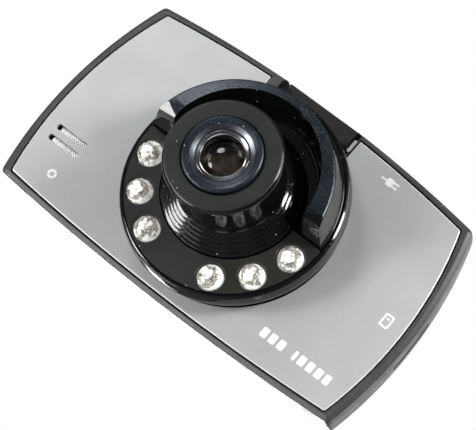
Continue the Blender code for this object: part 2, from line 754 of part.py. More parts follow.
def lens_elements():
    bm = bmesh.new()
    add_turned(bm, [
        (0.0, 22.6 * MM),
        (4.4 * MM, 23.4 * MM),
        (4.5 * MM, 24.4 * MM),
        (3.6 * MM, 25.2 * MM),
        (2.4 * MM, 25.7 * MM),
        (1.2 * MM, 25.95 * MM),
        (0.0, 26.05 * MM),
    ], 20)
    make_object("front_lens", bm, "coated_glass")
    bm = bmesh.new()
    add_turned(bm, [
        (0.0, 3.8 * MM),
        (3.2 * MM, 4.2 * MM),
        (3.2 * MM, 5.2 * MM),
        (0.0, 5.9 * MM),
    ], 16)
    make_object("rear_lens", bm, "coated_glass")


def lens_holder():
    """Square foot on the sensor board with a threaded collar for the lens tube."""
    bm = bmesh.new()
    add_box(bm, (-7.5 * MM, 7.5 * MM), (-7.5 * MM, 7.5 * MM), (-0.2 * MM, 3.2 * MM))
    holder = make_object("lens_holder", bm, "satin_black")
    collar = bmesh.new()
    add_disc(collar, 0.0, 0.0, 7.3 * MM, 2.0 * MM, 10.0 * MM, 20)
    combine(holder, helper("holder_collar", collar), "UNION")
    bore = bmesh.new()
    add_disc(bore, 0.0, 0.0, TUBE_RADIUS + CLEAR, 2.6 * MM, 12.0 * MM, 20)
    combine(holder, helper("holder_bore", bore), "DIFFERENCE")
    well = bmesh.new()
    add_box(well, (-4.2 * MM, 4.2 * MM), (-4.2 * MM, 4.2 * MM), (-1.0 * MM, 3.4 * MM))
    combine(holder, helper("holder_well", well), "DIFFERENCE")


def sensor_parts():
    blocks = {
        "ir_filter": ((-3.8, 3.8), (-3.8, 3.8), (1.6, 2.1), "coated_glass"),
        "image_sensor": ((-3.5, 3.5), (-3.5, 3.5), (-0.2, 0.9), "chip_black"),
        "sensor_board": ((-12.0, 12.0), (-12.0, 12.0), (-1.5, -0.5), "board_green"),
    }
    make_blocks(blocks)
    bm = bmesh.new()
    run = [
        (3.0 * MM, -1.8 * MM),
        (9.3 * MM, -1.8 * MM),
        (9.3 * MM, -6.0 * MM),
        (14.0 * MM, -6.0 * MM),
        (14.0 * MM, -6.3 * MM),
        (9.0 * MM, -6.3 * MM),
        (9.0 * MM, -2.1 * MM),
        (3.0 * MM, -2.1 * MM),
    ]
    add_side_prism(bm, run, -4.0 * MM, 4.0 * MM)
    make_object("sensor_flex", bm, "flex_film")


# ---------------------------------------------------------------- electronics

def make_blocks(blocks):
    """Plain rectangular parts from spans in millimetres: x, z, height and finish."""
    for name, (x, z, height, material) in blocks.items():
        bm = bmesh.new()
        add_box(bm, *[[value * MM for value in pair] for pair in (x, z, height)])
        make_object(name, bm, material)


def main_board():
    bm = bmesh.new()
    outline = case_outline(-2.9 * MM)
    add_prism(bm, outline, BOARD_BACK, BOARD_FRONT)
    board = make_object("main_board", bm, "board_green")
    cut = bmesh.new()
    for x, z in CASE_SCREWS.values():
        add_disc(cut, x, z, 1.3 * MM, BOARD_BACK - 1.0 * MM, BOARD_FRONT + 1.0 * MM, 16)
    combine(board, helper("board_holes", cut), "DIFFERENCE")
    notch = bmesh.new()
    add_box(notch, (-12.0 * MM, 12.0 * MM), (21.5 * MM, 33.0 * MM), (-9.0 * MM, -5.0 * MM))
    combine(board, helper("board_notch", notch), "DIFFERENCE")


def board_parts():
    make_blocks({
        "processor_chip": ((19.0, 31.0), (4.0, 16.0), (-6.3, -5.2), "chip_black"),
        "memory_chip": ((20.0, 28.0), (-16.0, -5.0), (-6.3, -5.3), "chip_black"),
        "motion_sensor": ((-25.5, -22.5), (5.0, 8.0), (-6.3, -5.4), "chip_black"),
        "battery": ((-15.0, 15.0), (-19.1, 0.9), (-6.3, -3.2), "battery_foil"),
        "lcd_module": ((-28.0, 28.0), (-19.7, 19.7), (-10.5, -7.9), "tin_plate"),
        "reset_switch": ((-39.2, -35.2), (-22.0, -18.6), (-6.3, -3.6), "chip_black"),
    })
    bm = bmesh.new()
    add_turned(bm, [
        (0.0, -10.3 * MM),
        (1.9 * MM, -10.3 * MM),
        (1.9 * MM, -7.9 * MM),
        (0.0, -7.9 * MM),
    ], 16)
    make_object("microphone", bm, "tin_plate", (MIC_X, 0.0, MIC_Z))


def speaker():
    bm = bmesh.new()
    add_turned(bm, [
        (0.0, -6.3 * MM),
        (3.4 * MM, -6.3 * MM),
        (3.4 * MM, -5.2 * MM),
        (SPEAKER_RADIUS, -4.6 * MM),
        (SPEAKER_RADIUS, -3.1 * MM),
        (5.0 * MM, -3.1 * MM),
        (4.4 * MM, -3.7 * MM),
        (2.2 * MM, -4.1 * MM),
        (0.0, -3.7 * MM),
    ], 18)
    make_object("speaker", bm, "speaker_cone", (SPEAKER_X, 0.0, SPEAKER_Z))
    bm = bmesh.new()
    outline = rounded_rectangle(10.2 * MM, 6.2 * MM, 0.6 * MM, 2, SPEAKER_X, SPEAKER_Z)
    add_prism(bm, outline, -2.8 * MM, -2.3 * MM)
    make_object("speaker_mesh", bm, "tin_plate")


def usb_socket():
    """Five-pin socket, open upwards, with its tongue standing in the opening."""
    bm = bmesh.new()
    add_box(bm, (USB_X - 3.8 * MM, USB_X + 3.8 * MM), (18.6 * MM, 27.1 * MM), (-6.3 * MM, -3.2 * MM))
    socket = make_object("usb_socket", bm, "tin_plate")
    cut = bmesh.new()
    add_box(cut, (USB_X - 3.4 * MM, USB_X + 3.4 * MM), (20.0 * MM, 29.0 * MM), (-5.9 * MM, -3.6 * MM))
    combine(socket, helper("usb_opening", cut), "DIFFERENCE")
    tongue = bmesh.new()
    add_box(tongue, (USB_X - 2.4 * MM, USB_X + 2.4 * MM), (19.5 * MM, 26.3 * MM), (-5.1 * MM, -4.4 * MM))
    combine(socket, helper("usb_tongue", tongue), "UNION")


def card_socket():
    """Memory card slot, open to the right."""
    bm = bmesh.new()
    z = (CARD_Z - 7.2 * MM, CARD_Z + 7.2 * MM)
    add_box(bm, (32.0 * MM, 45.8 * MM), z, (-6.3 * MM, -4.3 * MM))
    socket = make_object("card_socket", bm, "tin_plate")
    cut = bmesh.new()
    z = (CARD_Z - 5.7 * MM, CARD_Z + 5.7 * MM)
    add_box(cut, (34.0 * MM, 48.0 * MM), z, (-5.9 * MM, -4.7 * MM))
    combine(socket, helper("card_opening", cut), "DIFFERENCE")


def lcd_window():
    bm = bmesh.new()
    add_prism(bm, rounded_rectangle(*WINDOW, 2.0 * MM, 4), -CASE_DEPTH + 0.1 * MM, -11.5 * MM)
    make_object("lcd_window", bm, "window_glass")


# ---------------------------------------------------------------- moving pieces

def keys():
    """Key caps with their stems, each on its own slide axis, over a switch on the board."""
    back = -CASE_DEPTH - KEY_PROUD
    for name, (x, z, tilt) in KEYS.items():
        bm = bmesh.new()
        rings = []
        for inset, height in ((0.0, -10.9), (0.0, -12.8), (0.35, 0.0)):
            outline = rounded_rectangle(
                KEY_WIDTH - 2 * inset * MM,
                KEY_HEIGHT - 2 * inset * MM,
                (KEY_WIDTH - 2 * inset * MM) * 0.49,
                4,
                tilt=tilt,
            )
            rings.append((outline, height * MM if height else back))
        add_loft(bm, rings)
        cap = make_object(name, bm, "casing_plastic", (x, 0.0, z))
        stem = bmesh.new()
        add_disc(stem, x, z, 1.1 * MM, -11.5 * MM, -10.3 * MM, 12)
        combine(cap, helper(f"{name}_stem", stem), "UNION")
        switch = bmesh.new()
        add_box(switch, (-2.2 * MM, 2.2 * MM), (-2.2 * MM, 2.2 * MM), (-9.2 * MM, -7.9 * MM))
        body = make_object(f"switch_{name[4:]}", switch, "tin_plate", (x, 0.0, z))
        button = bmesh.new()
        add_disc(button, x, z, 1.0 * MM, -9.7 * MM, -9.0 * MM, 12)
        combine(body, helper(f"{name}_button", button), "UNION")


def reset_plunger():
    """Pin behind the small hole in the lower edge, which slides up against the reset switch."""
    bm = bmesh.new()
    bmesh.ops.create_cone(
        bm, cap_ends=True, segments=14, radius1=1.1 * MM, radius2=1.1 * MM, depth=1.9 * MM
    )
    place = (RESET_X, -RESET_HEIGHT, RESET_TIP_Z + 0.95 * MM)
    make_object("reset_plunger", bm, "satin_black", place)


def main():
    clear_scene()
    empty = bpy.data.objects.new("camera_datum", None)
    bpy.context.scene.collection.objects.link(empty)
    empty.location = (0.0, -SOCKET_DEPTH / 2.0, -SEAT_Z)
    DATUM["empty"] = empty
    for build in (
        front_shell,
        rear_shell,
        face_panel,
        bracket_socket,
        case_screws,
        turret_housing,
        lens_hood,
        led_plate,
        led_board,
        leds,
        turret_screws,
        lens_barrel,
        lens_trim_ring,
        lens_retaining_ring,
        lens_tube,
        lens_elements,
        lens_holder,
        sensor_parts,
        main_board,
        board_parts,
        speaker,
        usb_socket,
        card_socket,
        lcd_window,
        keys,
        reset_plunger,
    ):
        build()


main()
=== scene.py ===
"""Looks for the dash camera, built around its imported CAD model.

Shapes are given in millimetres from the lens axis (x right, z up, seen from the front) and as
heights above the face panel, which at() turns into the model's own frame.
"""

import json
import math

import bmesh
import bpy
from mathutils import Matrix, Quaternion, Vector


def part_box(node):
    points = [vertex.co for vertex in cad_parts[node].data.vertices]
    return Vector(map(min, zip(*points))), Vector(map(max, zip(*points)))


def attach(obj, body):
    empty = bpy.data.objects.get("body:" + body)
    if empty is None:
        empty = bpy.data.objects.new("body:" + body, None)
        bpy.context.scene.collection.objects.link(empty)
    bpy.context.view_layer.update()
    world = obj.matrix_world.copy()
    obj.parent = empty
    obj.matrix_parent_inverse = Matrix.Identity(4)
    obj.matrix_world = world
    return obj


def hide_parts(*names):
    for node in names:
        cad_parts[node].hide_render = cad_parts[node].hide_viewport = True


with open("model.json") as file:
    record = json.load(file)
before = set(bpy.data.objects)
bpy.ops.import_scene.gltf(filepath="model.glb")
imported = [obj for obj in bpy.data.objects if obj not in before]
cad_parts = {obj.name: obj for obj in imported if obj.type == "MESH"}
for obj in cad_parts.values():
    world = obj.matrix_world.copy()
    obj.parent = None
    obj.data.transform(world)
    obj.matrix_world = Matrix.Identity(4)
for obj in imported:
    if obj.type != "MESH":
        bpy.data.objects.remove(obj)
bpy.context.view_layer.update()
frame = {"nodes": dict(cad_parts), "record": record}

MM = 0.001
CLEAR = 0.3
CASING = "camera"
BARREL_LOW, BARREL_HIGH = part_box("lens_barrel")
AXIS_X = (BARREL_LOW.x + BARREL_HIGH.x) / 2.0
AXIS_Z = (BARREL_LOW.z + BARREL_HIGH.z) / 2.0
PANEL_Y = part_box("face_panel")[0].y
SCREEN_HALF_WIDTH = 24.6
SCREEN_HALF_HEIGHT = 18.4


def at(x, z, height):
    """The point of the model's frame at x and z from the lens axis and that height, all in mm."""
    return Vector((AXIS_X + x * MM, PANEL_Y - height * MM, AXIS_Z + z * MM))


def extent(node):
    """A node's reach along x, z and height, as (low, high) pairs in mm."""
    low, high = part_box(node)
    across = ((low.x - AXIS_X) / MM, (high.x - AXIS_X) / MM)
    upright = ((low.z - AXIS_Z) / MM, (high.z - AXIS_Z) / MM)
    height = ((PANEL_Y - high.y) / MM, (PANEL_Y - low.y) / MM)
    return across, upright, height


def middle(node):
    """A node's middle, as x, z and height in mm."""
    return tuple((low + high) / 2.0 for low, high in extent(node))


# ---------------------------------------------------------------- materials

class Surface:
    """A procedural material: a Principled shader with its colour, roughness and bump from textures."""

    def __init__(self, name, roughness=0.4, metallic=0.0, **sockets):
        self.material = bpy.data.materials.new(name)
        self.material.use_nodes = True
        self.tree = self.material.node_tree
        self.shader = self.tree.nodes["Principled BSDF"]
        self.shader.inputs["Roughness"].default_value = roughness
        self.shader.inputs["Metallic"].default_value = metallic
        for socket, value in sockets.items():
            self.shader.inputs[socket.replace("_", " ")].default_value = value
        self.place = self.node("ShaderNodeTexCoord").outputs["Object"]

    def node(self, kind, **settings):
        made = self.tree.nodes.new(kind)
        for name, value in settings.items():
            setattr(made, name, value)
        return made

    def link(self, source, target):
        self.tree.links.new(source, target)

    def feed(self, value, socket):
        """Links the socket that the value comes from, or sets it as a number or a colour."""
        if isinstance(value, bpy.types.NodeSocket):
            self.link(value, socket)
        else:
            socket.default_value = (*value, 1.0) if isinstance(value, tuple) else value

    def calculate(self, operation, *values):
        made = self.node("ShaderNodeMath", operation=operation)
        for value, socket in zip(values, made.inputs):
            self.feed(value, socket)
        return made.outputs["Value"]

    def stretched(self, scale, turn=(0.0, 0.0, 0.0)):
        """The object's coordinates, scaled and turned, for a texture that runs one way."""
        mapping = self.node("ShaderNodeMapping")
        mapping.inputs["Scale"].default_value = scale
        mapping.inputs["Rotation"].default_value = turn
        self.link(self.place, mapping.inputs["Vector"])
        return mapping.outputs["Vector"]

    def noise(self, size, detail=3.0, roughness=0.5, place=None):
        """Noise whose features are about size mm across."""
        made = self.node("ShaderNodeTexNoise")
        made.inputs["Scale"].default_value = 1.0 / (size * MM)
        made.inputs["Detail"].default_value = detail
        made.inputs["Roughness"].default_value = roughness
        self.link(place or self.place, made.inputs["Vector"])
        return made.outputs["Fac"]

    def spots(self, size, share):
        """1 in small round spots, spaced about size mm, and 0 between them."""
        made = self.node("ShaderNodeTexVoronoi")
        made.inputs["Scale"].default_value = 1.0 / (size * MM)
        self.link(self.place, made.inputs["Vector"])
        return self.ramp(made.outputs["Distance"], ((share * 0.6, 1.0), (share, 0.0)))

    def ramp(self, value, stops):
        """The value through a colour ramp of (position, grey or colour) stops."""
        made = self.node("ShaderNodeValToRGB")
        elements = made.color_ramp.elements
        while len(elements) < len(stops):
            elements.new(0.5)
        for element, (position, level) in zip(elements, stops):
            element.position = position
            colour = level if isinstance(level, tuple) else (level, level, level)
            element.color = (*colour, 1.0)
        self.link(value, made.inputs["Fac"])
        return made.outputs["Color"]

    def mix(self, fac, first, second, blend="MIX"):
        made = self.node("ShaderNodeMix", data_type="RGBA", blend_type=blend)
        for value, index in ((fac, 0), (first, 6), (second, 7)):
            self.feed(value, made.inputs[index])
        return made.outputs[2]

    def colour(self, value):
        self.link(value, self.shader.inputs["Base Color"])
        return self

    def rough(self, value, low, high):
        """Roughness between low and high as value goes from 0.3 to 0.7."""
        made = self.node("ShaderNodeMapRange")
        made.inputs["From Min"].default_value = 0.3
        made.inputs["From Max"].default_value = 0.7
        made.inputs["To Min"].default_value = low
        made.inputs["To Max"].default_value = high
        self.link(value, made.inputs["Value"])
        self.link(made.outputs["Result"], self.shader.inputs["Roughness"])
        return self

    def bump(self, value, depth, strength=1.0):
        """Bump of that depth in mm. A second call adds to the first."""
        made = self.node("ShaderNodeBump")
        made.inputs["Strength"].default_value = strength
        made.inputs["Distance"].default_value = depth * MM
        self.link(value, made.inputs["Height"])
        before = self.shader.inputs["Normal"]
        if before.is_linked:
            self.link(before.links[0].from_socket, made.inputs["Normal"])
        self.link(made.outputs["Normal"], before)
        return self


def grained(name, dark, light, rough, grain, depth, metallic=0.0, patches=6.0):
    """Moulded or coated material: patchy colour and gloss, and a fine grain in the surface.

    The grain's size, its depth and the size of the patches are in mm.
    """
    made = Surface(name, metallic=metallic)
    made.colour(made.ramp(made.noise(patches, 4.0), ((0.35, dark), (0.65, light))))
    made.rough(made.noise(patches * 0.6, 5.0), *rough)
    made.bump(made.noise(grain, 4.0, 0.6), depth)
    return made


def handled(made, depth=0.004):
    """Adds short fine scratches, which stand out only in a highlight."""
    along = made.stretched((1.0, 1.0, 14.0), (0.4, 0.5, 0.3))
    lines = made.ramp(made.noise(0.9, 2.0, 0.5, along), ((0.62, 0.0), (0.66, 1.0)))
    made.bump(lines, depth)
    return made


def dusty(made, spacing=2.2, share=0.058, tone=(0.75, 0.75, 0.73)):
    """Adds a few pale specks of dust over the colour."""
    before = made.shader.inputs["Base Color"].links[0].from_socket
    made.colour(made.mix(made.spots(spacing, share), before, tone))
    return made


def casing_plastic():
    """Dark grey moulded plastic with a fine spark-eroded grain."""
    made = grained("casing_plastic", (0.046, 0.048, 0.045), (0.064, 0.066, 0.062),
                   rough=(0.32, 0.44), grain=0.20, depth=0.022)
    return dusty(handled(made)).material


def silver_coating():
    """Fine metal flake under a satin clear coat, with a little dust."""
    made = Surface("silver_coating", metallic=0.35, Coat_Weight=0.2, Coat_Roughness=0.35)
    flake = made.ramp(made.noise(0.09, 2.0), ((0.3, (0.50, 0.50, 0.495)), (0.7, (0.60, 0.60, 0.595))))
    cloud = made.ramp(made.noise(9.0, 3.0), ((0.3, (0.93, 0.93, 0.93)), (0.7, (1.0, 1.0, 1.0))))
    made.colour(made.mix(1.0, flake, cloud, "MULTIPLY"))
    made.rough(made.noise(0.12, 2.0), 0.44, 0.54)
    made.bump(made.noise(0.09, 2.0), 0.002)
    return dusty(made, 3.1, 0.035, (0.8, 0.8, 0.78)).material


def painted_edge_highlight():
    """Near-white colour of the coated panel's rounded edge: a painted highlight in place of the bright line
    of light along it.
    """
    return grained("painted_edge_highlight", (0.90, 0.90, 0.89), (1.0, 1.0, 0.99),
                   rough=(0.30, 0.45), grain=0.15, depth=0.003, patches=2.0).material


def gloss_black():
    """Polished black plastic, a little scratched."""
    made = grained("gloss_black", (0.0022, 0.0026, 0.0026), (0.0042, 0.0048, 0.0048),
                   rough=(0.04, 0.09), grain=0.9, depth=0.004)
    return dusty(handled(made, 0.003)).material


def hood_satin():
    """Black plastic with a bluish satin sheen."""
    made = grained("hood_satin", (0.006, 0.010, 0.014), (0.010, 0.016, 0.022),
                   rough=(0.22, 0.32), grain=0.20, depth=0.010)
    return dusty(handled(made, 0.010)).material


def plate_satin():
    """Warm black plastic of the lamps' plate and of the pocket's back."""
    made = grained("plate_satin", (0.014, 0.0135, 0.0115), (0.019, 0.0185, 0.0155),
                   rough=(0.36, 0.46), grain=0.14, depth=0.008)
    return dusty(made).material


def face_matt():
    """Finely textured black of the barrel's face."""
    made = grained("face_matt", (0.0095, 0.0105, 0.0095), (0.0145, 0.0155, 0.0140),
                   rough=(0.40, 0.50), grain=0.10, depth=0.006)
    return dusty(handled(made, 0.003)).material


def dull_black():
    """Dull black of the lens tube and of the parts behind it."""
    return grained("dull_black", (0.010, 0.010, 0.010), (0.018, 0.018, 0.018),
                   rough=(0.5, 0.65), grain=0.12, depth=0.010).material


def dark_chrome():
    """Plated ring that holds the front element."""
    return grained("dark_chrome", (0.26, 0.26, 0.27), (0.38, 0.38, 0.39),
                   rough=(0.14, 0.24), grain=0.15, depth=0.002, metallic=1.0, patches=3.0).material


def lamp_clear():
    """Clear resin over a bright cup, with its light painted in: a white middle as a painted reflection, a
    white rim as a painted highlight, and broken grey, warm and dark painted shade with painted facets
    between.
    """
    made = Surface("lamp_clear", Transmission_Weight=0.2, IOR=1.5, Coat_Weight=0.6, Coat_Roughness=0.02)
    across = made.node("ShaderNodeMapping")
    across.inputs["Scale"].default_value = (1.0, 0.0, 1.0)
    made.link(made.node("ShaderNodeTexCoord").outputs["Generated"], across.inputs["Vector"])
    off_axis = made.node("ShaderNodeVectorMath", operation="DISTANCE")
    off_axis.inputs[1].default_value = (0.44, 0.0, 0.46)
    made.link(across.outputs["Vector"], off_axis.inputs[0])
    broken = made.calculate("MULTIPLY_ADD", made.noise(1.3, 1.6, 0.5), 0.62, off_axis.outputs["Value"])
    # Painted light: white in the middle as a painted reflection, white at the rim as a painted highlight,
    # and grey, warm and dark bands of painted shade between.
    painted_light_zones = made.ramp(broken, (
        (0.52, (1.0, 1.0, 1.0)),
        (0.56, (0.60, 0.56, 0.49)),
        (0.60, (0.07, 0.06, 0.04)),
        (0.65, (0.55, 0.52, 0.47)),
        (0.70, (0.16, 0.15, 0.13)),
        (0.77, (0.95, 0.95, 0.93)),
    ))
    # Painted shade in small facets, which stand in for the cup's facets seen through the resin.
    facets = made.node("ShaderNodeTexVoronoi")
    facets.inputs["Scale"].default_value = 1.0 / (0.9 * MM)
    made.link(made.place, facets.inputs["Vector"])
    shade = made.ramp(facets.outputs["Color"], ((0.15, 0.45), (0.35, 1.0)))
    painted_light_colour = made.mix(1.0, painted_light_zones, shade, "MULTIPLY")
    made.colour(painted_light_colour)
    # Painted glow: the same painted colour glows faintly, in place of light reflected by the cup.
    made.link(painted_light_colour, made.shader.inputs["Emission Color"])
    made.shader.inputs["Emission Strength"].default_value = 0.38
    made.rough(made.noise(0.8), 0.03, 0.09)
    made.bump(made.noise(0.9), 0.10)
    return made.material


def lamp_cup():
    """Warm polished metal under the resin."""
    made = Surface("lamp_cup", metallic=0.85)
    made.colour(made.ramp(made.noise(0.7), ((0.3, (0.70, 0.66, 0.58)), (0.6, (0.97, 0.96, 0.93)))))
    made.rough(made.noise(0.5), 0.10, 0.22)
    made.bump(made.noise(0.4), 0.05)
    return made.material


def lens_glass():
    """Slightly warm coated glass."""
    made = Surface("lens_glass", Transmission_Weight=1.0, IOR=1.38)
    made.colour(made.ramp(made.noise(2.5), ((0.3, (0.93, 0.86, 0.80)), (0.7, (0.97, 0.93, 0.88)))))
    made.rough(made.noise(1.2), 0.01, 0.035)
    made.bump(made.noise(2.0), 0.001)
    return made.material


def inner_glass():
    """Brown depth of the elements behind the first one."""
    made = Surface("inner_glass", Coat_Weight=0.2, Coat_Roughness=0.3)
    depths = ((0.35, (0.026, 0.020, 0.016)), (0.65, (0.085, 0.068, 0.056)))
    made.colour(made.ramp(made.noise(1.6, 2.0), depths))
    made.rough(made.noise(1.0), 0.35, 0.50)
    made.bump(made.noise(1.5), 0.02)
    return made.material


def window_glass():
    """Dark glass with a printed border, a shade greyer where the screen lies."""
    made = Surface("window_glass", Coat_Weight=0.5, Coat_Roughness=0.02)
    split = made.node("ShaderNodeSeparateXYZ")
    made.link(made.place, split.inputs[0])
    inside = None
    for axis, middle, half in (("X", AXIS_X, SCREEN_HALF_WIDTH), ("Z", AXIS_Z, SCREEN_HALF_HEIGHT)):
        offset = made.calculate("SUBTRACT", split.outputs[axis], middle)
        within = made.calculate("LESS_THAN", made.calculate("ABSOLUTE", offset), half * MM)
        inside = within if inside is None else made.calculate("MULTIPLY", inside, within)
    screen = made.ramp(made.noise(0.2, 1.0), ((0.3, (0.018, 0.020, 0.024)), (0.7, (0.026, 0.029, 0.034))))
    border = made.ramp(made.noise(3.0), ((0.3, (0.003, 0.003, 0.003)), (0.7, (0.006, 0.006, 0.007))))
    made.colour(made.mix(inside, border, screen))
    made.rough(made.noise(5.0, 5.0), 0.04, 0.09)
    made.bump(made.noise(12.0), 0.004)
    return made.material


def circuit_board():
    """Solder mask with pale tracks and pads under it."""
    made = Surface("circuit_board", Coat_Weight=0.3, Coat_Roughness=0.15)
    bricks = made.node("ShaderNodeTexBrick")
    bricks.inputs["Scale"].default_value = 420.0
    bricks.inputs["Mortar Size"].default_value = 0.03
    bricks.inputs["Color1"].default_value = (0.010, 0.085, 0.035, 1.0)
    bricks.inputs["Color2"].default_value = (0.013, 0.100, 0.042, 1.0)
    bricks.inputs["Mortar"].default_value = (0.035, 0.170, 0.075, 1.0)
    flat = made.stretched((1.0, 1.0, 1.0), (math.radians(90.0), 0.0, 0.0))
    made.link(flat, bricks.inputs["Vector"])
    pads = made.spots(2.6, 0.16)
    made.colour(made.mix(pads, bricks.outputs["Color"], (0.55, 0.52, 0.42)))
    made.rough(made.noise(1.0), 0.30, 0.45)
    made.bump(bricks.outputs["Fac"], 0.02)
    return made.material


def tin_plate():
    """Tinned sheet with fine rolling marks along x."""
    made = Surface("tin_plate", metallic=1.0)
    made.colour(made.ramp(made.noise(1.2), ((0.3, (0.50, 0.50, 0.48)), (0.7, (0.66, 0.66, 0.64)))))
    rolled = made.stretched((0.15, 1.0, 1.0))
    made.rough(made.noise(0.15, 4.0, 0.6, rolled), 0.22, 0.40)
    made.bump(made.noise(0.15, 3.0, 0.5, rolled), 0.003)
    return made.material


def satin_chrome():
    """Dark satin metal of the inner slope of the dished ring."""
    return grained("satin_chrome", (0.13, 0.135, 0.15), (0.20, 0.21, 0.23),
                   rough=(0.26, 0.36), grain=0.15, depth=0.003, metallic=1.0, patches=3.0).material


def grille_metal():
    """Pale metal mesh behind the slots."""
    return grained("grille_metal", (0.84, 0.84, 0.83), (1.0, 1.0, 0.99),
                   rough=(0.25, 0.4), grain=0.12, depth=0.006, metallic=0.25, patches=1.0).material


def screw_steel():
    return grained("screw_steel", (0.16, 0.16, 0.165), (0.26, 0.26, 0.27),
                   rough=(0.25, 0.42), grain=0.2, depth=0.004, metallic=1.0, patches=1.5).material


def chip_black():
    return grained("chip_black", (0.016, 0.016, 0.018), (0.026, 0.026, 0.028),
                   rough=(0.5, 0.7), grain=0.08, depth=0.010, patches=2.0).material


def battery_foil():
    return grained("battery_foil", (0.45, 0.46, 0.48), (0.62, 0.63, 0.65),
                   rough=(0.28, 0.45), grain=0.8, depth=0.03, metallic=0.9, patches=4.0).material


def flex_film():
    return grained("flex_film", (0.38, 0.19, 0.05), (0.55, 0.30, 0.09),
                   rough=(0.25, 0.4), grain=0.5, depth=0.01, patches=2.0).material


def speaker_cone():
    return grained("speaker_cone", (0.03, 0.03, 0.032), (0.06, 0.06, 0.065),
                   rough=(0.6, 0.8), grain=0.15, depth=0.02).material


def white_ink():
    return grained("white_ink", (0.93, 0.93, 0.92), (1.0, 1.0, 0.99),
                   rough=(0.45, 0.6), grain=0.10, depth=0.004, patches=0.8).material


CASING_PLASTIC = casing_plastic()
SILVER = silver_coating()
EDGE_HIGHLIGHT = painted_edge_highlight()
GLOSS = gloss_black()
HOOD = hood_satin()
PLATE = plate_satin()
FACE = face_matt()
DULL = dull_black()
CHROME = dark_chrome()
SATIN_CHROME = satin_chrome()
LAMP = lamp_clear()
CUP = lamp_cup()
GLASS = lens_glass()
INNER_GLASS = inner_glass()
WINDOW = window_glass()
BOARD = circuit_board()
TIN = tin_plate()
GRILLE = grille_metal()
STEEL = screw_steel()
CHIP = chip_black()
FOIL = battery_foil()
FLEX = flex_film()
CONE = speaker_cone()
INK = white_ink()

# ---------------------------------------------------------------- outlines and sections

CASE_TOP_HALF = 43.75
CASE_BOTTOM_HALF = 46.75
CASE_TOP = 25.95
CASE_BOTTOM = -25.85
CASE_CORNER = 1.4
RIM = 2.15
PANEL_TOP = 24.36
PANEL_CORNER = 0.5


def circle(radius, count, x=0.0, z=0.0):
    turns = [2.0 * math.pi * i / count for i in range(count)]
    return [(x + radius * math.cos(turn), z + radius * math.sin(turn)) for turn in turns]


def rounded_rectangle(width, height, radius, steps=8, x=0.0, z=0.0, tilt=0.0):
    """Rectangle with round corners of that many steps, about (x, z), turned by tilt degrees."""
    points = []
    for sign_x, sign_z, start in ((1, 1, 0), (-1, 1, 90), (-1, -1, 180), (1, -1, 270)):
        for step in range(steps + 1):
            turn = math.radians(start + 90.0 * step / steps)
            px = sign_x * (width / 2.0 - radius) + radius * math.cos(turn)
            pz = sign_z * (height / 2.0 - radius) + radius * math.sin(turn)
            points.append((px, pz))
    cos_tilt = math.cos(math.radians(tilt))
    sin_tilt = math.sin(math.radians(tilt))
    return [(x + px * cos_tilt - pz * sin_tilt, z + px * sin_tilt + pz * cos_tilt) for px, pz in points]


def side_arc(start, end, bulge):
    """Centre and radius of the arc from start to end that stands out by bulge."""
    chord = end - start
    radius = (chord.length ** 2 / 4.0 + bulge ** 2) / (2.0 * bulge)
    outward = Vector((chord.y, -chord.x)).normalized()
    return (start + end) / 2.0 - outward * (radius - bulge), radius


def meeting_point(first, second, near):
    """Where two circles (centre, radius) cross, of the two points the one closer to near."""
    line = second[0] - first[0]
    along = (first[1] ** 2 - second[1] ** 2 + line.length ** 2) / (2.0 * line.length)
    across = math.sqrt(first[1] ** 2 - along ** 2)
    foot = first[0] + line.normalized() * along
    side = Vector((-line.y, line.x)).normalized() * across
    return min((foot + side, foot - side), key=lambda point: (point - near).length)


def arc_points(centre, radius, first, last, steps):
    """Points anticlockwise from the direction first to the direction last, in radians."""
    sweep = (last - first) % (2.0 * math.pi)
    turns = [first + sweep * step / steps for step in range(steps + 1)]
    return [(centre.x + radius * math.cos(t), centre.y + radius * math.sin(t)) for t in turns]


# Of the bottom, right, top and left sides.
BULGES = (1.76, 3.55, 3.08, 3.55)
SIDE_STEPS = (36, 24, 36, 24)
CORNER_STEPS = 10
LEAST_CORNER = 0.4


def barrel_outline(top_half, bottom_half, top_z, bottom_z, corner, offset):
    """Four bulging sides between round corners, moved outwards by offset."""
    corner = max(corner, LEAST_CORNER - offset)
    corners = [
        Vector((-bottom_half, bottom_z)),
        Vector((bottom_half, bottom_z)),
        Vector((top_half, top_z)),
        Vector((-top_half, top_z)),
    ]
    arcs = [side_arc(corners[i], corners[(i + 1) % 4], BULGES[i]) for i in range(4)]
    fillets = []
    for i in range(4):
        before = (arcs[i - 1][0], arcs[i - 1][1] - corner)
        after = (arcs[i][0], arcs[i][1] - corner)
        fillets.append(meeting_point(before, after, corners[i]))
    points = []
    for i in range(4):
        centre, radius = arcs[i]
        before = fillets[i] - arcs[i - 1][0]
        here = fillets[i] - centre
        after = fillets[(i + 1) % 4] - centre
        first, middle, last = (math.atan2(way.y, way.x) for way in (before, here, after))
        points += arc_points(fillets[i], corner + offset, first, middle, CORNER_STEPS)
        points += arc_points(centre, radius + offset, middle, last, SIDE_STEPS[i])[1:-1]
    return points


def case_outline(offset):
    """The casing's widest outline, moved outwards by offset."""
    return barrel_outline(CASE_TOP_HALF, CASE_BOTTOM_HALF, CASE_TOP, CASE_BOTTOM, CASE_CORNER, offset)


def panel_outline(offset):
    """The face panel's outline, a rim inside the casing's, moved outwards by offset."""
    top_half = CASE_TOP_HALF - RIM
    bottom_half = CASE_BOTTOM_HALF - RIM
    return barrel_outline(top_half, bottom_half, PANEL_TOP, -PANEL_TOP, PANEL_CORNER, offset)


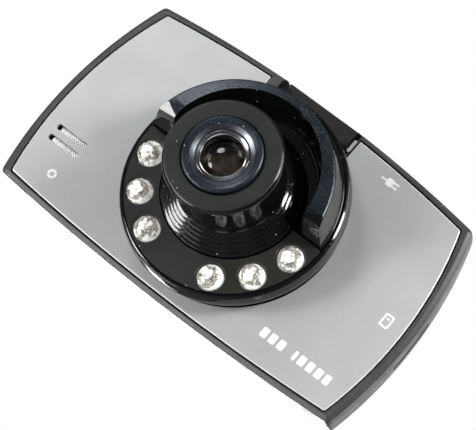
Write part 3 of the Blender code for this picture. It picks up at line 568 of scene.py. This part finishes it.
def eased(section, closed=False, steps=4):
    """The section with each corner (a, b, ease) rounded off over the length ease."""
    points = []
    for i, corner in enumerate(section):
        here = Vector(corner[:2])
        ease = corner[2] if len(corner) > 2 else 0.0
        if not ease or (not closed and i in (0, len(section) - 1)):
            points.append(tuple(here))
            continue
        back = Vector(section[i - 1][:2]) - here
        on = Vector(section[(i + 1) % len(section)][:2]) - here
        reach = min(ease, back.length * 0.48, on.length * 0.48)
        start = here + back.normalized() * reach
        end = here + on.normalized() * reach
        for step in range(steps + 1):
            t = step / steps
            points.append(tuple(start * (1 - t) ** 2 + here * (2 * t * (1 - t)) + end * t ** 2))
    return points


def rings(outline, section, steps=4):
    """Rings (points, height) of a loft: outline(offset) at each eased (offset, height)."""
    return [(outline(offset), height) for offset, height in eased(section, False, steps)]


# ---------------------------------------------------------------- meshes

def loft(stack):
    """Closed skin over rings of equal count, with both ends capped."""
    bm = bmesh.new()
    loops = [[bm.verts.new(at(x, z, height)) for x, z in points] for points, height in stack]
    for lower, upper in zip(loops, loops[1:]):
        for i in range(len(lower)):
            j = (i + 1) % len(lower)
            bm.faces.new((lower[i], lower[j], upper[j], upper[i]))
    bm.faces.new(loops[0])
    bm.faces.new(loops[-1])
    return bm


def thicken(bm, faces, shift):
    """Extrudes the faces by shift, in the model's frame, into a closed solid."""
    extruded = bmesh.ops.extrude_face_region(bm, geom=faces)
    moved = [item for item in extruded["geom"] if isinstance(item, bmesh.types.BMVert)]
    bmesh.ops.translate(bm, vec=shift, verts=moved)
    return bm


def swept(corners, shift):
    bm = bmesh.new()
    return thicken(bm, [bm.faces.new([bm.verts.new(corner) for corner in corners])], shift)


def prism(points, low, high):
    """The outline of (x, z) points, between two heights."""
    return swept([at(x, z, low) for x, z in points], (0.0, (low - high) * MM, 0.0))


def side_prism(points, low, high):
    """The outline of (z, height) points, between two places along x."""
    return swept([at(low, z, height) for z, height in points], ((high - low) * MM, 0.0, 0.0))


def upright_prism(points, low, high):
    """The outline of (x, height) points, between two places along z."""
    return swept([at(x, low, height) for x, height in points], (0.0, 0.0, (high - low) * MM))


def block(x, z, height):
    """A box between two values each of x, z and height."""
    return prism(((x[0], z[0]), (x[1], z[0]), (x[1], z[1]), (x[0], z[1])), *height)


def beyond(x, z, height, normal):
    """A large cube with one face through that point, on the side that normal (x, z, height) points to."""
    size = 60.0
    bm = bmesh.new()
    out = Vector((normal[0], -normal[2], normal[1])).normalized()
    facing = out.to_track_quat("Z", "Y").to_matrix().to_4x4()
    place = Matrix.Translation(at(x, z, height) + out * size * MM / 2.0) @ facing
    bmesh.ops.create_cube(bm, size=size * MM, matrix=place)
    return bm


def turned(section, count=96, x=0.0, z=0.0, steps=4):
    """The (radius, height) section turned about the axis through x and z.

    It is closed on itself, unless it starts at radius 0, when it ends there too.
    """
    bm = bmesh.new()
    filled = section[0][0] == 0.0
    points = eased(section, not filled, steps)
    columns = []
    for radius, height in points:
        if radius == 0.0:
            columns.append([bm.verts.new(at(x, z, height))])
        else:
            columns.append([bm.verts.new(at(px, pz, height)) for px, pz in circle(radius, count, x, z)])
    pairs = list(zip(columns, columns[1:]))
    if not filled:
        pairs.append((columns[-1], columns[0]))
    for lower, upper in pairs:
        for i in range(count):
            j = (i + 1) % count
            corners = [lower[k % len(lower)] for k in (i, j)] + [upper[k % len(upper)] for k in (j, i)]
            bm.faces.new(list(dict.fromkeys(corners)))
    return bm


def solid(name, bm):
    """A new object of that shape."""
    bmesh.ops.remove_doubles(bm, verts=bm.verts, dist=1e-8)
    bmesh.ops.recalc_face_normals(bm, faces=bm.faces)
    mesh = bpy.data.meshes.new(name)
    bm.to_mesh(mesh)
    bm.free()
    obj = bpy.data.objects.new(name, mesh)
    bpy.context.scene.collection.objects.link(obj)
    return obj


def freeze(obj):
    """Makes the object's modifiers part of its mesh."""
    graph = bpy.context.evaluated_depsgraph_get()
    mesh = bpy.data.meshes.new_from_object(obj.evaluated_get(graph))
    obj.modifiers.clear()
    before = obj.data
    obj.data = mesh
    bpy.data.meshes.remove(before)


def combine(obj, bm, operation="DIFFERENCE"):
    """Cuts the shape bm out of the object, or joins it, and clears the slivers that are left."""
    other = solid("tool", bm)
    modifier = obj.modifiers.new("combine", "BOOLEAN")
    modifier.operation = operation
    modifier.solver = "EXACT"
    modifier.object = other
    freeze(obj)
    bpy.data.objects.remove(other, do_unlink=True)
    bm = bmesh.new()
    bm.from_mesh(obj.data)
    bmesh.ops.remove_doubles(bm, verts=bm.verts, dist=0.008 * MM)
    bmesh.ops.dissolve_degenerate(bm, edges=bm.edges, dist=0.004 * MM)
    bm.to_mesh(obj.data)
    bm.free()


def soften(obj, width, segments=2, angle=40.0):
    """Rounds the sharp edges over width mm."""
    modifier = obj.modifiers.new("soften", "BEVEL")
    modifier.width = width * MM
    modifier.segments = segments
    modifier.limit_method = "ANGLE"
    modifier.angle_limit = math.radians(angle)
    freeze(obj)
    return obj


def paint(obj, chosen):
    """Gives the faces for which chosen(normal, height, radius) holds the object's second material."""
    for face in obj.data.polygons:
        middle = face.center
        height = (PANEL_Y - middle.y) / MM
        radius = math.hypot(middle.x - AXIS_X, middle.z - AXIS_Z) / MM
        if chosen(face.normal, height, radius):
            face.material_index = 1


def dress(obj, materials, stands_for=(), body=CASING, sharp=35.0):
    """Gives a finished piece its materials and shading, and rides it on its body."""
    for material in materials if isinstance(materials, tuple) else (materials,):
        obj.data.materials.append(material)
    obj.data.shade_smooth()
    obj.data.set_sharp_from_angle(angle=math.radians(sharp))
    modifier = obj.modifiers.new("normals", "WEIGHTED_NORMAL")
    modifier.keep_sharp = True
    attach(obj, body)
    if stands_for:
        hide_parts(*stands_for)


# ---------------------------------------------------------------- casing

# The front wall stands behind the panel, POCKET_ sizes are the bracket pocket's, STRIP is the narrow
# panel piece at its right, and a key's place is its x, its z and its tilt in degrees.
WALL_FACE = -1.3
WALL_BACK = -2.8
PARTING = extent("front_shell")[2][0]
PANEL_HOLE = 23.8
REAR_FRONT = -10.8
BACK = extent("rear_shell")[2][0]
SEAT = 24.3
POCKET_HALF = 9.9
POCKET_BACK = -4.55
POCKET_WALL = 0.9
STRIP = (10.4, 11.2)
SPEAKER_X = middle("speaker_mesh")[0]
SLOT_ZS = (-13.2, -10.3)
USB_X, USB_HEIGHT = middle("usb_socket")[::2]
CARD_Z = middle("card_socket")[1]
RESET_X, RESET_HEIGHT = middle("reset_plunger")[::2]
KEY_TILTS = {"power": -6.0, "menu": 0.0, "mode": 6.0, "up": 6.0, "record": 0.0, "down": -6.0}
KEYS = {name: (*middle(f"key_{name}")[:2], tilt) for name, tilt in KEY_TILTS.items()}
CASE_SCREWS = [middle(f"case_screw_{index}")[:2] for index in range(1, 5)]
MIC = middle("microphone")[:2]


def slot_outline(z):
    return rounded_rectangle(8.6, 1.4, 0.69, 8, SPEAKER_X, z)


def pocket_opening(low, high):
    """The room for the bracket liner, between two heights."""
    half = POCKET_HALF + POCKET_WALL + CLEAR
    return block((-half, half), (SEAT - POCKET_WALL - CLEAR, 33.0), (low, high))


def front_casing():
    """The dark rim round the panel, the wall behind it, and the openings in its edges."""
    outer = rings(case_outline, [
        (-1.5, WALL_BACK), (-1.9, PARTING), (-0.5, PARTING, 0.12), (-0.36, -6.6, 0.2),
        (0.0, -3.6, 1.0), (0.0, -0.95, 0.2), (-0.92, -0.12, 0.1), (-1.0, -0.12),
    ])
    inner = rings(panel_outline, [(0.53, -0.12), (0.42, -0.12, 0.05), (0.42, WALL_FACE)])
    shell = solid("casing_front", loft(outer + inner))
    bridge = (-13.5, STRIP[1])
    combine(shell, block(bridge, (21.0, 28.35), (WALL_FACE - 0.5, 0.0)), "UNION")
    combine(shell, turned([
        (0.0, -4.0), (19.0, -4.0), (19.0, WALL_FACE), (PANEL_HOLE, WALL_FACE), (PANEL_HOLE, 1.5),
        (0.0, 1.5),
    ], 128))
    for z in SLOT_ZS:
        combine(shell, prism(slot_outline(z), -2.1, -0.5))
    combine(shell, block((SPEAKER_X - 5.4, SPEAKER_X + 5.4), (-15.15, -8.35), (-3.5, WALL_FACE + 0.1)))
    combine(shell, pocket_opening(-5.75, 2.0))
    combine(shell, upright_prism(rounded_rectangle(8.2, 3.6, 0.7, 6, USB_X, -4.7), 24.0, 32.0))
    combine(shell, side_prism(rounded_rectangle(12.6, 1.7, 0.6, 6, CARD_Z, -5.35), 44.5, 52.0))
    combine(shell, upright_prism(circle(0.8, 32, RESET_X, RESET_HEIGHT), -28.0, -24.0))
    soften(shell, 0.14, 2, 50.0)
    dress(shell, CASING_PLASTIC, ["front_shell"])


def rear_casing():
    """The other half, with the screen's opening and recess, the screws' holes and the keys'."""
    start = PARTING - CLEAR
    shell = solid("casing_rear", loft(rings(case_outline, [
        (-3.5, REAR_FRONT), (-2.5, -9.6), (-2.0, start), (-0.55, start, 0.12), (-0.9, -9.8, 1.2),
        (-1.7, -11.4, 0.9), (-3.2, -12.3, 0.8), (-4.4, BACK, 0.5), (-5.2, BACK),
    ], 5)))
    combine(shell, prism(rounded_rectangle(50.0, 38.0, 1.5), -11.3, -9.0))
    combine(shell, prism(rounded_rectangle(59.0, 41.6, 2.3, 10), -14.0, -11.2))
    for x, z in CASE_SCREWS:
        hole = [(0.0, -9.0), (1.15, -9.0), (1.15, -11.0), (2.1, -11.0), (2.1, -14.0), (0.0, -14.0)]
        combine(shell, turned(hole, 32, x, z))
    for x, z, tilt in KEYS.values():
        combine(shell, prism(rounded_rectangle(5.2, 9.2, 2.55, 10, x, z, tilt), -14.0, -9.5))
    combine(shell, prism(circle(0.5, 20, *MIC), -14.0, -9.5))
    soften(shell, 0.16, 2, 50.0)
    dress(shell, CASING_PLASTIC, ["rear_shell"])


def front_panel():
    """The silver panel, whose rounded edge carries a painted highlight in near-white."""
    section = [(0.0, -1.0), (0.0, 0.0, 0.3), (-1.0, 0.0)]
    panel = solid("silver_panel", loft(rings(panel_outline, section, 3)))
    combine(panel, prism(circle(PANEL_HOLE, 144), -2.0, 1.0))
    combine(panel, block((-13.8, STRIP[1] + 0.5), (15.0, 33.0), (-2.0, 1.0)))
    for material in (SILVER, EDGE_HIGHLIGHT):
        panel.data.materials.append(material)
    # The rounded edge's faces get the painted highlight colour.
    paint(panel, lambda normal, height, radius: normal.y > -0.97 and height > -0.6 and radius > 24.6)
    for z in SLOT_ZS:
        combine(panel, prism(slot_outline(z), -2.0, 1.0))
    soften(panel, 0.08, 2, 50.0)
    dress(panel, (), ["face_panel"])


def bracket_pocket():
    """The black liner of the pocket, with a groove in each side wall, and the strip beside it."""
    outer = POCKET_HALF + POCKET_WALL
    back = POCKET_BACK - POCKET_WALL
    ledge = POCKET_BACK + 0.1
    liner = solid("bracket_liner", side_prism(eased([
        (SEAT - POCKET_WALL, back), (SEAT - POCKET_WALL, 0.35), (28.2, 0.35, 0.2),
        (28.6, 0.0, 0.2), (28.6, ledge), (29.65, ledge, 0.2), (29.85, POCKET_BACK - 0.2, 0.2),
        (29.85, back),
    ]), -outer, outer))
    combine(liner, block((-POCKET_HALF, POCKET_HALF), (SEAT, 32.0), (POCKET_BACK, 2.0)))
    half = POCKET_HALF + 0.55
    combine(liner, block((-half, half), (SEAT + 0.6, 29.85), (-4.0, -2.2)))
    combine(liner, block((STRIP[0] - 0.1, outer + 1.0), (SEAT - 2.0, 30.0), (-0.5, 2.0)))
    soften(liner, 0.12, 2, 50.0)
    paint(liner, lambda normal, height, radius: normal.y < -0.9 and height < -3.0)
    dress(liner, (GLOSS, PLATE), ["bracket_socket"])
    middle = (STRIP[0] + STRIP[1]) / 2.0
    strip = prism(rounded_rectangle(STRIP[1] - STRIP[0], 3.2, 0.3, 5, middle, 25.3), -0.45, 0.0)
    dress(soften(solid("panel_strip", strip), 0.1), SILVER)


# ---------------------------------------------------------------- turret

DECK_RADIUS = 23.7
DECK_BORE = 16.0
DECK_BACK, DECK_TOP = extent("led_plate")[2]
LAMP_PLACES = [middle(f"led_{index}")[:2] for index in range(1, 7)]
LAMP_RADIUS = 2.9
LAMP_RISE = 2.0
LAMP_SHOULDER = 7.6


def drum():
    """The turret's base."""
    shell = solid("turret_drum", turned([
        (23.4, -1.0), (23.4, 0.5, 0.5), (25.0, 4.3, 1.6), (25.0, 5.4, 0.9), (24.8, 6.8, 0.5),
        (24.7, 7.42, 0.25), (24.1, 7.78, 0.16), (23.95, 7.78, 0.1), (23.95, 6.4), (23.4, 6.4),
        (23.4, 3.3), (22.6, 2.5), (22.6, -1.0),
    ], 160))
    combine(shell, pocket_opening(-3.0, 0.65))
    dress(shell, GLOSS, ["turret_housing"])


def hood():
    """A leaning wall over the lens, hollowed off centre into a crescent, with slanting ends."""
    def ring(offset):
        return circle(DECK_RADIUS + offset, 160)

    crescent = solid("hood_crescent", loft(rings(ring, [
        (0.0, DECK_BACK), (0.0, DECK_TOP, 0.1), (-0.25, 8.5, 0.1), (-1.22, 15.3, 0.35),
        (-1.55, 15.75, 0.3), (-5.7, 16.45),
    ], 5)))
    lift = 2.4
    combine(crescent, loft([
        (circle(17.4, 144), 7.5),
        (circle(18.4, 144), 8.1),
        (circle(18.1, 144, 0.0, lift), 15.9),
        (circle(18.05, 144, 0.0, lift), 18.0),
    ]))
    combine(crescent, prism(circle(DECK_BORE, 144), 5.0, 9.0))
    ends = eased([
        (-30.0, 18.0), (3.2, 18.0), (2.9, 14.8, 0.3), (2.2, 13.2, 0.3), (0.9, 8.2),
        (0.9, 4.0), (-30.0, 4.0),
    ])
    combine(crescent, side_prism(ends, -30.0, 30.0))
    # Two planes slope the top of each end down towards its tip.
    for side in (-1.0, 1.0):
        for degrees, z, height in ((12.0, 4.7, 15.87), (26.0, 4.3, 15.76)):
            across = math.sin(math.radians(degrees))
            slant = (0.42 * across * side, -0.9 * across, math.cos(math.radians(degrees)))
            combine(crescent, beyond(20.0 * side, z, height, slant))
    soften(crescent, 0.42, 4, 42.0)
    paint(crescent, lambda normal, height, radius: height > 14.0 and normal.y < -0.3 and normal.z > -0.25)
    dress(crescent, (GLOSS, HOOD), ["lens_hood"], sharp=40.0)


def lamp_plate():
    """The lower half ring that the lamps stand in, which reaches a little above the middle."""
    outline = []
    for radius, order in ((DECK_RADIUS, 1), (DECK_BORE, -1)):
        first = math.pi - math.asin(0.6 / radius)
        sweep = math.pi + 2.0 * math.asin(0.6 / radius)
        turns = [first + sweep * step / 96 for step in range(97)]
        arc = [(radius * math.cos(turn), radius * math.sin(turn)) for turn in turns]
        outline += arc[::order]
    plate = solid("lamp_plate", prism(outline, DECK_BACK, DECK_TOP))
    well = [(0.0, 5.0), (3.12, 5.0), (3.12, 8.0), (3.35, 8.25), (3.35, 9.0), (0.0, 9.0)]
    for x, z in LAMP_PLACES:
        combine(plate, turned(well, 48, x, z))
    soften(plate, 0.10, 2, 42.0)
    dress(plate, PLATE, ["led_plate"])


def lamps():
    """Six lamps, each a resin dome over a faceted cup with its chip."""
    dome = [(0.0, 4.8), (2.45, 4.8, 0.1), (2.45, 5.8)]
    dome += [(LAMP_RADIUS, 6.0, 0.1), (LAMP_RADIUS, LAMP_SHOULDER)]
    for step in range(1, 12):
        turn = math.radians(90.0 * step / 12)
        dome.append((LAMP_RADIUS * math.cos(turn), LAMP_SHOULDER + LAMP_RISE * math.sin(turn)))
    dome.append((0.0, LAMP_SHOULDER + LAMP_RISE))
    for index, (x, z) in enumerate(LAMP_PLACES, 1):
        lens = solid(f"lamp_{index}_dome", turned(dome, 48, x, z))
        # The dome's colour is painted light: a painted reflection, highlight and shade, and a faint painted
        # glow.
        dress(lens, LAMP, [f"led_{index}"], sharp=50.0)
        cup = solid(f"lamp_{index}_cup", turned([
            (0.0, 6.4), (0.6, 6.4, 0.1), (1.5, 6.9, 0.2), (2.3, 7.7, 0.1), (2.4, 7.7, 0.05),
            (2.4, 5.1), (2.2, 5.0), (0.0, 5.0),
        ], 12, x, z))
        dress(cup, CUP, sharp=10.0)
        chip = solid(f"lamp_{index}_chip", block((x - 0.35, x + 0.35), (z - 0.35, z + 0.35), (6.35, 6.6)))
        dress(soften(chip, 0.05), CHIP)


# ---------------------------------------------------------------- lens

def barrel():
    """Five steps at its foot, a neck, and a wide collar with a flat face round the lens."""
    section = [(17.2, 5.0), (17.2, 6.4), (15.7, 6.4, 0.1)]
    height = 8.7
    tread = 0.76
    for rib in range(5):
        radius = 15.7 - rib * tread
        section.append((radius, height, 0.12))
        section.append((radius - 0.70, height + 0.40, 0.12))
        section.append((radius - tread, height + 0.40, 0.05))
        height += 0.85
    section += [
        (11.7, height, 0.3), (10.1, 22.6, 0.8), (10.6, 23.6, 0.5), (12.6, 24.3, 0.4),
        (13.0, 24.9, 0.3), (13.0, 25.9, 0.5), (12.45, 26.7, 0.45), (9.0, 26.7, 0.1), (9.0, 24.9),
        (7.6, 24.9), (7.6, 5.0),
    ]
    shell = solid("lens_barrel_shell", turned(section, 144, steps=5))
    paint(shell, lambda normal, height, radius: height > 26.6 and radius < 12.5)
    dress(shell, (GLOSS, FACE), ["lens_barrel"])


def lens_rings():
    """The dished ring in the barrel's face and the plated ring that holds the front element."""
    trim = solid("lens_trim", turned([
        (8.7, 25.2), (8.7, 27.2, 0.2), (8.4, 27.6, 0.2), (7.9, 27.62, 0.2), (6.9, 27.28, 0.3),
        (5.9, 26.82, 0.1), (5.9, 25.2),
    ], 128, steps=6))
    paint(trim, lambda normal, height, radius: radius < 6.9 and height > 26.5)
    dress(trim, (HOOD, SATIN_CHROME), ["lens_trim_ring"])
    ring = solid("lens_retainer", turned([
        (5.75, 25.4), (5.75, 26.6, 0.1), (5.6, 26.68, 0.1), (5.0, 26.35, 0.1), (4.9, 26.45, 0.08),
        (4.75, 26.45, 0.08), (4.62, 26.1, 0.1), (4.62, 25.4),
    ], 128))
    dress(ring, CHROME, ["lens_retaining_ring"])


def meniscus(radius):
    """Height of the front element's outer face at that radius."""
    return 26.05 - 0.072 * radius ** 2


def lens_group():
    """The dark tube, the front element, and the glow of the elements behind it."""
    tube = solid("lens_tube_shell", turned([
        (6.0, 3.0), (6.0, 24.9, 0.1), (4.75, 24.9, 0.1), (4.6, 22.4, 0.1), (4.0, 22.2, 0.1),
        (4.0, 20.2, 0.1), (3.4, 20.0, 0.1), (3.4, 17.0, 0.1), (4.8, 16.8), (4.8, 12.0),
        (3.5, 12.0), (3.5, 3.0),
    ], 96))
    dress(tube, DULL, ["lens_tube"])
    radii = [4.4 * step / 16 for step in range(17)]
    dome = [(radius, meniscus(radius) - 1.1) for radius in radii]
    dome += [(radius, meniscus(radius)) for radius in reversed(radii)]
    lens = solid("front_element", turned(dome, 96))
    dress(lens, GLASS, ["front_lens"], sharp=50.0)
    second = [(0.0, 20.3), (3.2, 20.5, 0.1), (3.9, 21.4, 0.1), (3.2, 21.7, 0.1), (1.8, 22.0), (0.0, 22.1)]
    lens = solid("second_element", turned(second, 64))
    dress(lens, INNER_GLASS, sharp=50.0)


# ---------------------------------------------------------------- speaker and sockets

def speaker_grille():
    """Pressed mesh of fine ridges, raised a little behind each slot."""
    bm = bmesh.new()
    columns = 200
    rows = 28
    ridge_pitch = 0.62
    grid = []
    for row in range(rows + 1):
        z = -14.85 + 6.2 * row / rows
        raised = max(0.0, 1.0 - min(abs(z - slot_z) for slot_z in SLOT_ZS) / 0.9)
        line = []
        for column in range(columns + 1):
            x = SPEAKER_X - 3.2 + 8.3 * column / columns
            height = -1.6 + 1.0 * math.sin(0.5 * math.pi * min(raised * 2.0, 1.0))
            height += 0.14 * math.sin(2.0 * math.pi * (x - SPEAKER_X + 0.6 * z) / ridge_pitch)
            line.append(bm.verts.new(at(x, z, height)))
        grid.append(line)
    for line, above in zip(grid, grid[1:]):
        for i in range(columns):
            bm.faces.new((line[i], line[i + 1], above[i + 1], above[i]))
    thicken(bm, list(bm.faces), (0.0, 0.25 * MM, 0.0))
    dress(solid("speaker_grille", bm), GRILLE, ["speaker_mesh"])


def usb_port():
    """Five-pin socket: a folded metal shell, its tongue and contacts."""
    def upright(width, depth, radius, low, high):
        return upright_prism(rounded_rectangle(width, depth, radius, 6, USB_X, USB_HEIGHT), low, high)

    shell = solid("usb_shell", upright(7.6, 3.1, 0.7, 18.6, 27.1))
    combine(shell, upright(6.9, 2.4, 0.45, 20.0, 29.0))
    soften(shell, 0.08, 2, 50.0)
    dress(shell, TIN, ["usb_socket"])
    tongue = soften(solid("usb_tongue", upright(4.8, 0.7, 0.1, 19.9, 26.3)), 0.06)
    dress(tongue, CHIP)
    for index in range(5):
        x = USB_X - 1.6 + 0.8 * index
        contact = solid(f"usb_contact_{index + 1}", block((x - 0.17, x + 0.17), (20.2, 26.0), (-4.4, -4.3)))
        dress(soften(contact, 0.03), CUP)


def screws():
    """Four casing screws: a domed head with a cross and a plain shank."""
    for index, (x, z) in enumerate(CASE_SCREWS, 1):
        head = solid(f"case_screw_{index}_cross", turned([
            (0.0, -12.3), (0.9, -12.25), (1.5, -12.05, 0.2), (1.8, -11.8, 0.15),
            (1.8, -11.25, 0.1), (0.85, -11.2, 0.1), (0.85, -4.3), (0.0, -3.8),
        ], 48, x, z))
        for size in ((1.0, 0.22), (0.22, 1.0)):
            cut = block((x - size[0], x + size[0]), (z - size[1], z + size[1]), (-13.0, -11.65))
            combine(head, cut)
        dress(soften(head, 0.04, 1, 50.0), STEEL, [f"case_screw_{index}"])


# ---------------------------------------------------------------- rear face

def window():
    """The screen's window, set into the rear casing's recess."""
    glass = solid("screen_window", prism(rounded_rectangle(58.4, 41.0, 2.0, 12), *extent("lcd_window")[2]))
    soften(glass, 0.25, 3, 50.0)
    dress(glass, WINDOW, ["lcd_window"])


# Widths of the printed bars and the gaps after them.
BAR_ROW = [(1.6, 0.7), (1.6, 0.7), (1.6, 2.6), (0.8, 0.7), (1.6, 0.7), (1.6, 0.7), (1.6, 0.7), (1.5, 0.0)]


def glyph(name, x, z):
    """Outlines of a key's plain mark, as (points, hole) pairs round the key's middle."""
    if name == "power":
        bar = rounded_rectangle(0.2, 0.8, 0.09, 3, x, z)
        return [(circle(0.85, 32, x, z), circle(0.65, 32, x, z)), (bar, None)]
    if name == "menu":
        return [(rounded_rectangle(1.7, 0.22, 0.1, 3, x, z + lift), None) for lift in (-0.55, 0.0, 0.55)]
    if name == "mode":
        return [(rounded_rectangle(1.5, 1.5, 0.2, 4, x, z), rounded_rectangle(1.1, 1.1, 0.1, 4, x, z))]
    if name == "record":
        return [(circle(0.6, 32, x, z), None)]
    up = 1.0 if name == "up" else -1.0
    return [([(x - 0.85, z - 0.5 * up), (x + 0.85, z - 0.5 * up), (x, z + 0.75 * up)], None)]


def key_outline(x, z, tilt, offset):
    return rounded_rectangle(4.6 + 2 * offset, 8.6 + 2 * offset, 2.25 + offset, 12, x, z, tilt)


def keys():
    """Six caps with a stem and a printed mark, each on the body of its own joint."""
    for name, (x, z, tilt) in KEYS.items():
        cap = solid(f"keycap_{name}", loft(rings(lambda offset: key_outline(x, z, tilt, offset), [
            (-0.1, -10.9), (0.0, -11.0, 0.1), (0.0, -12.75, 0.25), (-0.45, -13.12, 0.35),
            (-1.5, -13.2), (-2.1, -13.15),
        ], 5)))
        stem = [(0.0, -11.6), (1.1, -11.6), (1.1, -10.3, 0.1), (0.0, -10.3)]
        combine(cap, turned(stem, 32, x, z), "UNION")
        body = f"{name}_key"
        dress(cap, CASING_PLASTIC, [f"key_{name}"], body)
        for index, (points, hole) in enumerate(glyph(name, x, z)):
            mark = solid(f"key_{name}_mark_{index + 1}", prism(points, -13.19, -13.12))
            if hole:
                combine(mark, prism(hole, -14.0, -12.0))
            dress(mark, INK, body=body)


def printed_marks():
    """Small plain prints: a plug and a card by their sockets, a ring by the pin hole, a row of bars."""
    plug_z = 23.7
    card_x = 42.3
    ring_place = (RESET_X + 0.3, -19.7)
    marks = {
        "plug_lead": rounded_rectangle(1.5, 0.42, 0.2, 3, 21.2, plug_z),
        "plug_body": rounded_rectangle(1.7, 1.9, 0.45, 5, 22.7, plug_z),
        "plug_pin_1": rounded_rectangle(1.5, 0.42, 0.15, 3, 24.2, plug_z + 0.5),
        "plug_pin_2": rounded_rectangle(1.5, 0.42, 0.15, 3, 24.2, plug_z - 0.5),
        "card": rounded_rectangle(2.3, 3.2, 0.4, 5, card_x, CARD_Z),
        "card_line": rounded_rectangle(0.8, 0.35, 0.1, 3, card_x, CARD_Z + 0.5),
        "pin_ring": circle(1.1, 32, *ring_place),
    }
    holes = {
        "card": rounded_rectangle(1.5, 2.4, 0.2, 5, card_x, CARD_Z),
        "pin_ring": circle(0.55, 32, *ring_place),
    }
    start = 22.8
    for index, (width, gap) in enumerate(BAR_ROW, 1):
        marks[f"bar_{index}"] = rounded_rectangle(width, 2.3, 0.3, 4, start + width / 2.0, -18.9)
        start += width + gap
    for name, points in marks.items():
        mark = solid(f"print_{name}", prism(points, -0.02, 0.03))
        if name in holes:
            combine(mark, prism(holes[name], -1.0, 1.0))
        dress(mark, INK)


# ---------------------------------------------------------------- build

front_casing()
rear_casing()
front_panel()
bracket_pocket()
drum()
hood()
lamp_plate()
lamps()
barrel()
lens_rings()
lens_group()
speaker_grille()
usb_port()
screws()
window()
keys()
printed_marks()

# The CAD nodes that no piece stands for keep their shape and get a material by their slot.
CARRIED = {
    "satin_black": DULL,
    "coated_glass": INNER_GLASS,
    "board_green": BOARD,
    "chip_black": CHIP,
    "tin_plate": TIN,
    "screw_steel": STEEL,
    "battery_foil": FOIL,
    "speaker_cone": CONE,
    "flex_film": FLEX,
}
slot_of = {row["node"]: row["material_slot"] for row in frame["record"]["subparts"]}
for name, node in frame["nodes"].items():
    if not node.hide_render:
        node.data.materials.clear()
        node.data.materials.append(CARRIED[slot_of[name]])

# ---------------------------------------------------------------- stage

# The camera was fitted to the panel's edges and the turret's circles in the photograph.
CAMERA_PLACE = Vector((0.2278758, -0.6310689, -0.1705167))
CAMERA_TURN = Quaternion((0.54080242, 0.76434766, -0.14564511, 0.31951981))
SENSOR_WIDTH = 36.0
FOCAL_LENGTH = 240.964
FLOOR_Z = -1.4
LIGHT_DISTANCE = 0.9

camera_data = bpy.data.cameras.new("camera")
camera_data.sensor_width = SENSOR_WIDTH
camera_data.lens = FOCAL_LENGTH
camera_data.clip_start = 0.05
camera_data.clip_end = 10.0
camera = bpy.data.objects.new("camera", camera_data)
camera.rotation_mode = "QUATERNION"
camera.location = CAMERA_PLACE
camera.rotation_quaternion = CAMERA_TURN
bpy.context.scene.collection.objects.link(camera)
bpy.context.scene.camera = camera

TARGET = at(0.0, 0.0, 5.0)


def soft_light(name, right, up, back, size, power, colour=(1.0, 1.0, 1.0)):
    """A round light that stands right, up and back as the camera sees it, aimed at the turret."""
    data = bpy.data.lights.new(name, "AREA")
    data.shape = "DISK"
    data.size = size
    data.energy = power
    data.color = colour
    light = bpy.data.objects.new(name, data)
    direction = (CAMERA_TURN @ Vector((right, up, back))).normalized()
    light.location = TARGET + direction * LIGHT_DISTANCE
    light.rotation_mode = "QUATERNION"
    light.rotation_quaternion = (-direction).to_track_quat("-Z", "Y")
    light.visible_camera = False
    bpy.context.scene.collection.objects.link(light)


soft_light("key_light", -0.865, 0.20, 0.44, 0.35, 5.8)
soft_light("side_light", 0.73, 0.255, 0.64, 0.25, 6.5, (0.99, 1.0, 1.0))
soft_light("right_fill", 0.90, 0.20, 0.20, 0.60, 5.2)
soft_light("left_fill", -0.88, -0.34, 0.34, 0.50, 3.2)
soft_light("top_light", -0.30, 0.90, 0.30, 0.30, 1.6, (0.84, 0.92, 1.0))
soft_light("back_light", -0.32, -0.30, -0.90, 0.50, 4.0)
soft_light("low_back_light", 0.42, -0.36, -0.80, 0.80, 1.7)


def studio():
    """A white backdrop that lights the object only faintly, as a dim ambient light."""
    world = bpy.data.worlds.new("studio")
    world.use_nodes = True
    tree = world.node_tree
    seen = tree.nodes["Background"]
    ambient = tree.nodes.new("ShaderNodeBackground")
    for background, strength in ((seen, 1.0), (ambient, 0.12)):
        background.inputs["Color"].default_value = (1.0, 1.0, 1.0, 1.0)
        background.inputs["Strength"].default_value = strength
    paths = tree.nodes.new("ShaderNodeLightPath")
    choice = tree.nodes.new("ShaderNodeMixShader")
    tree.links.new(paths.outputs["Is Camera Ray"], choice.inputs["Fac"])
    tree.links.new(ambient.outputs[0], choice.inputs[1])
    tree.links.new(seen.outputs[0], choice.inputs[2])
    tree.links.new(choice.outputs[0], tree.nodes["World Output"].inputs["Surface"])
    bpy.context.scene.world = world


def pale_floor():
    """A pale floor well below the object, seen as white as the backdrop."""
    bm = bmesh.new()
    bmesh.ops.create_circle(bm, cap_ends=True, segments=96, radius=4.0)
    bmesh.ops.translate(bm, vec=(0.0, 0.0, FLOOR_Z), verts=bm.verts)
    mesh = bpy.data.meshes.new("floor")
    bm.to_mesh(mesh)
    bm.free()
    floor = bpy.data.objects.new("floor", mesh)
    bpy.context.scene.collection.objects.link(floor)
    pale = Surface("pale_floor", roughness=0.8)
    tone = pale.ramp(pale.noise(300.0), ((0.3, (0.80, 0.80, 0.80)), (0.7, (0.84, 0.84, 0.84))))
    pale.colour(tone)
    pale.link(tone, pale.shader.inputs["Emission Color"])
    paths = pale.node("ShaderNodeLightPath")
    pale.link(paths.outputs["Is Camera Ray"], pale.shader.inputs["Emission Strength"])
    floor.data.materials.append(pale.material)


studio()
pale_floor()
bpy.context.scene.view_settings.view_transform = "Standard"
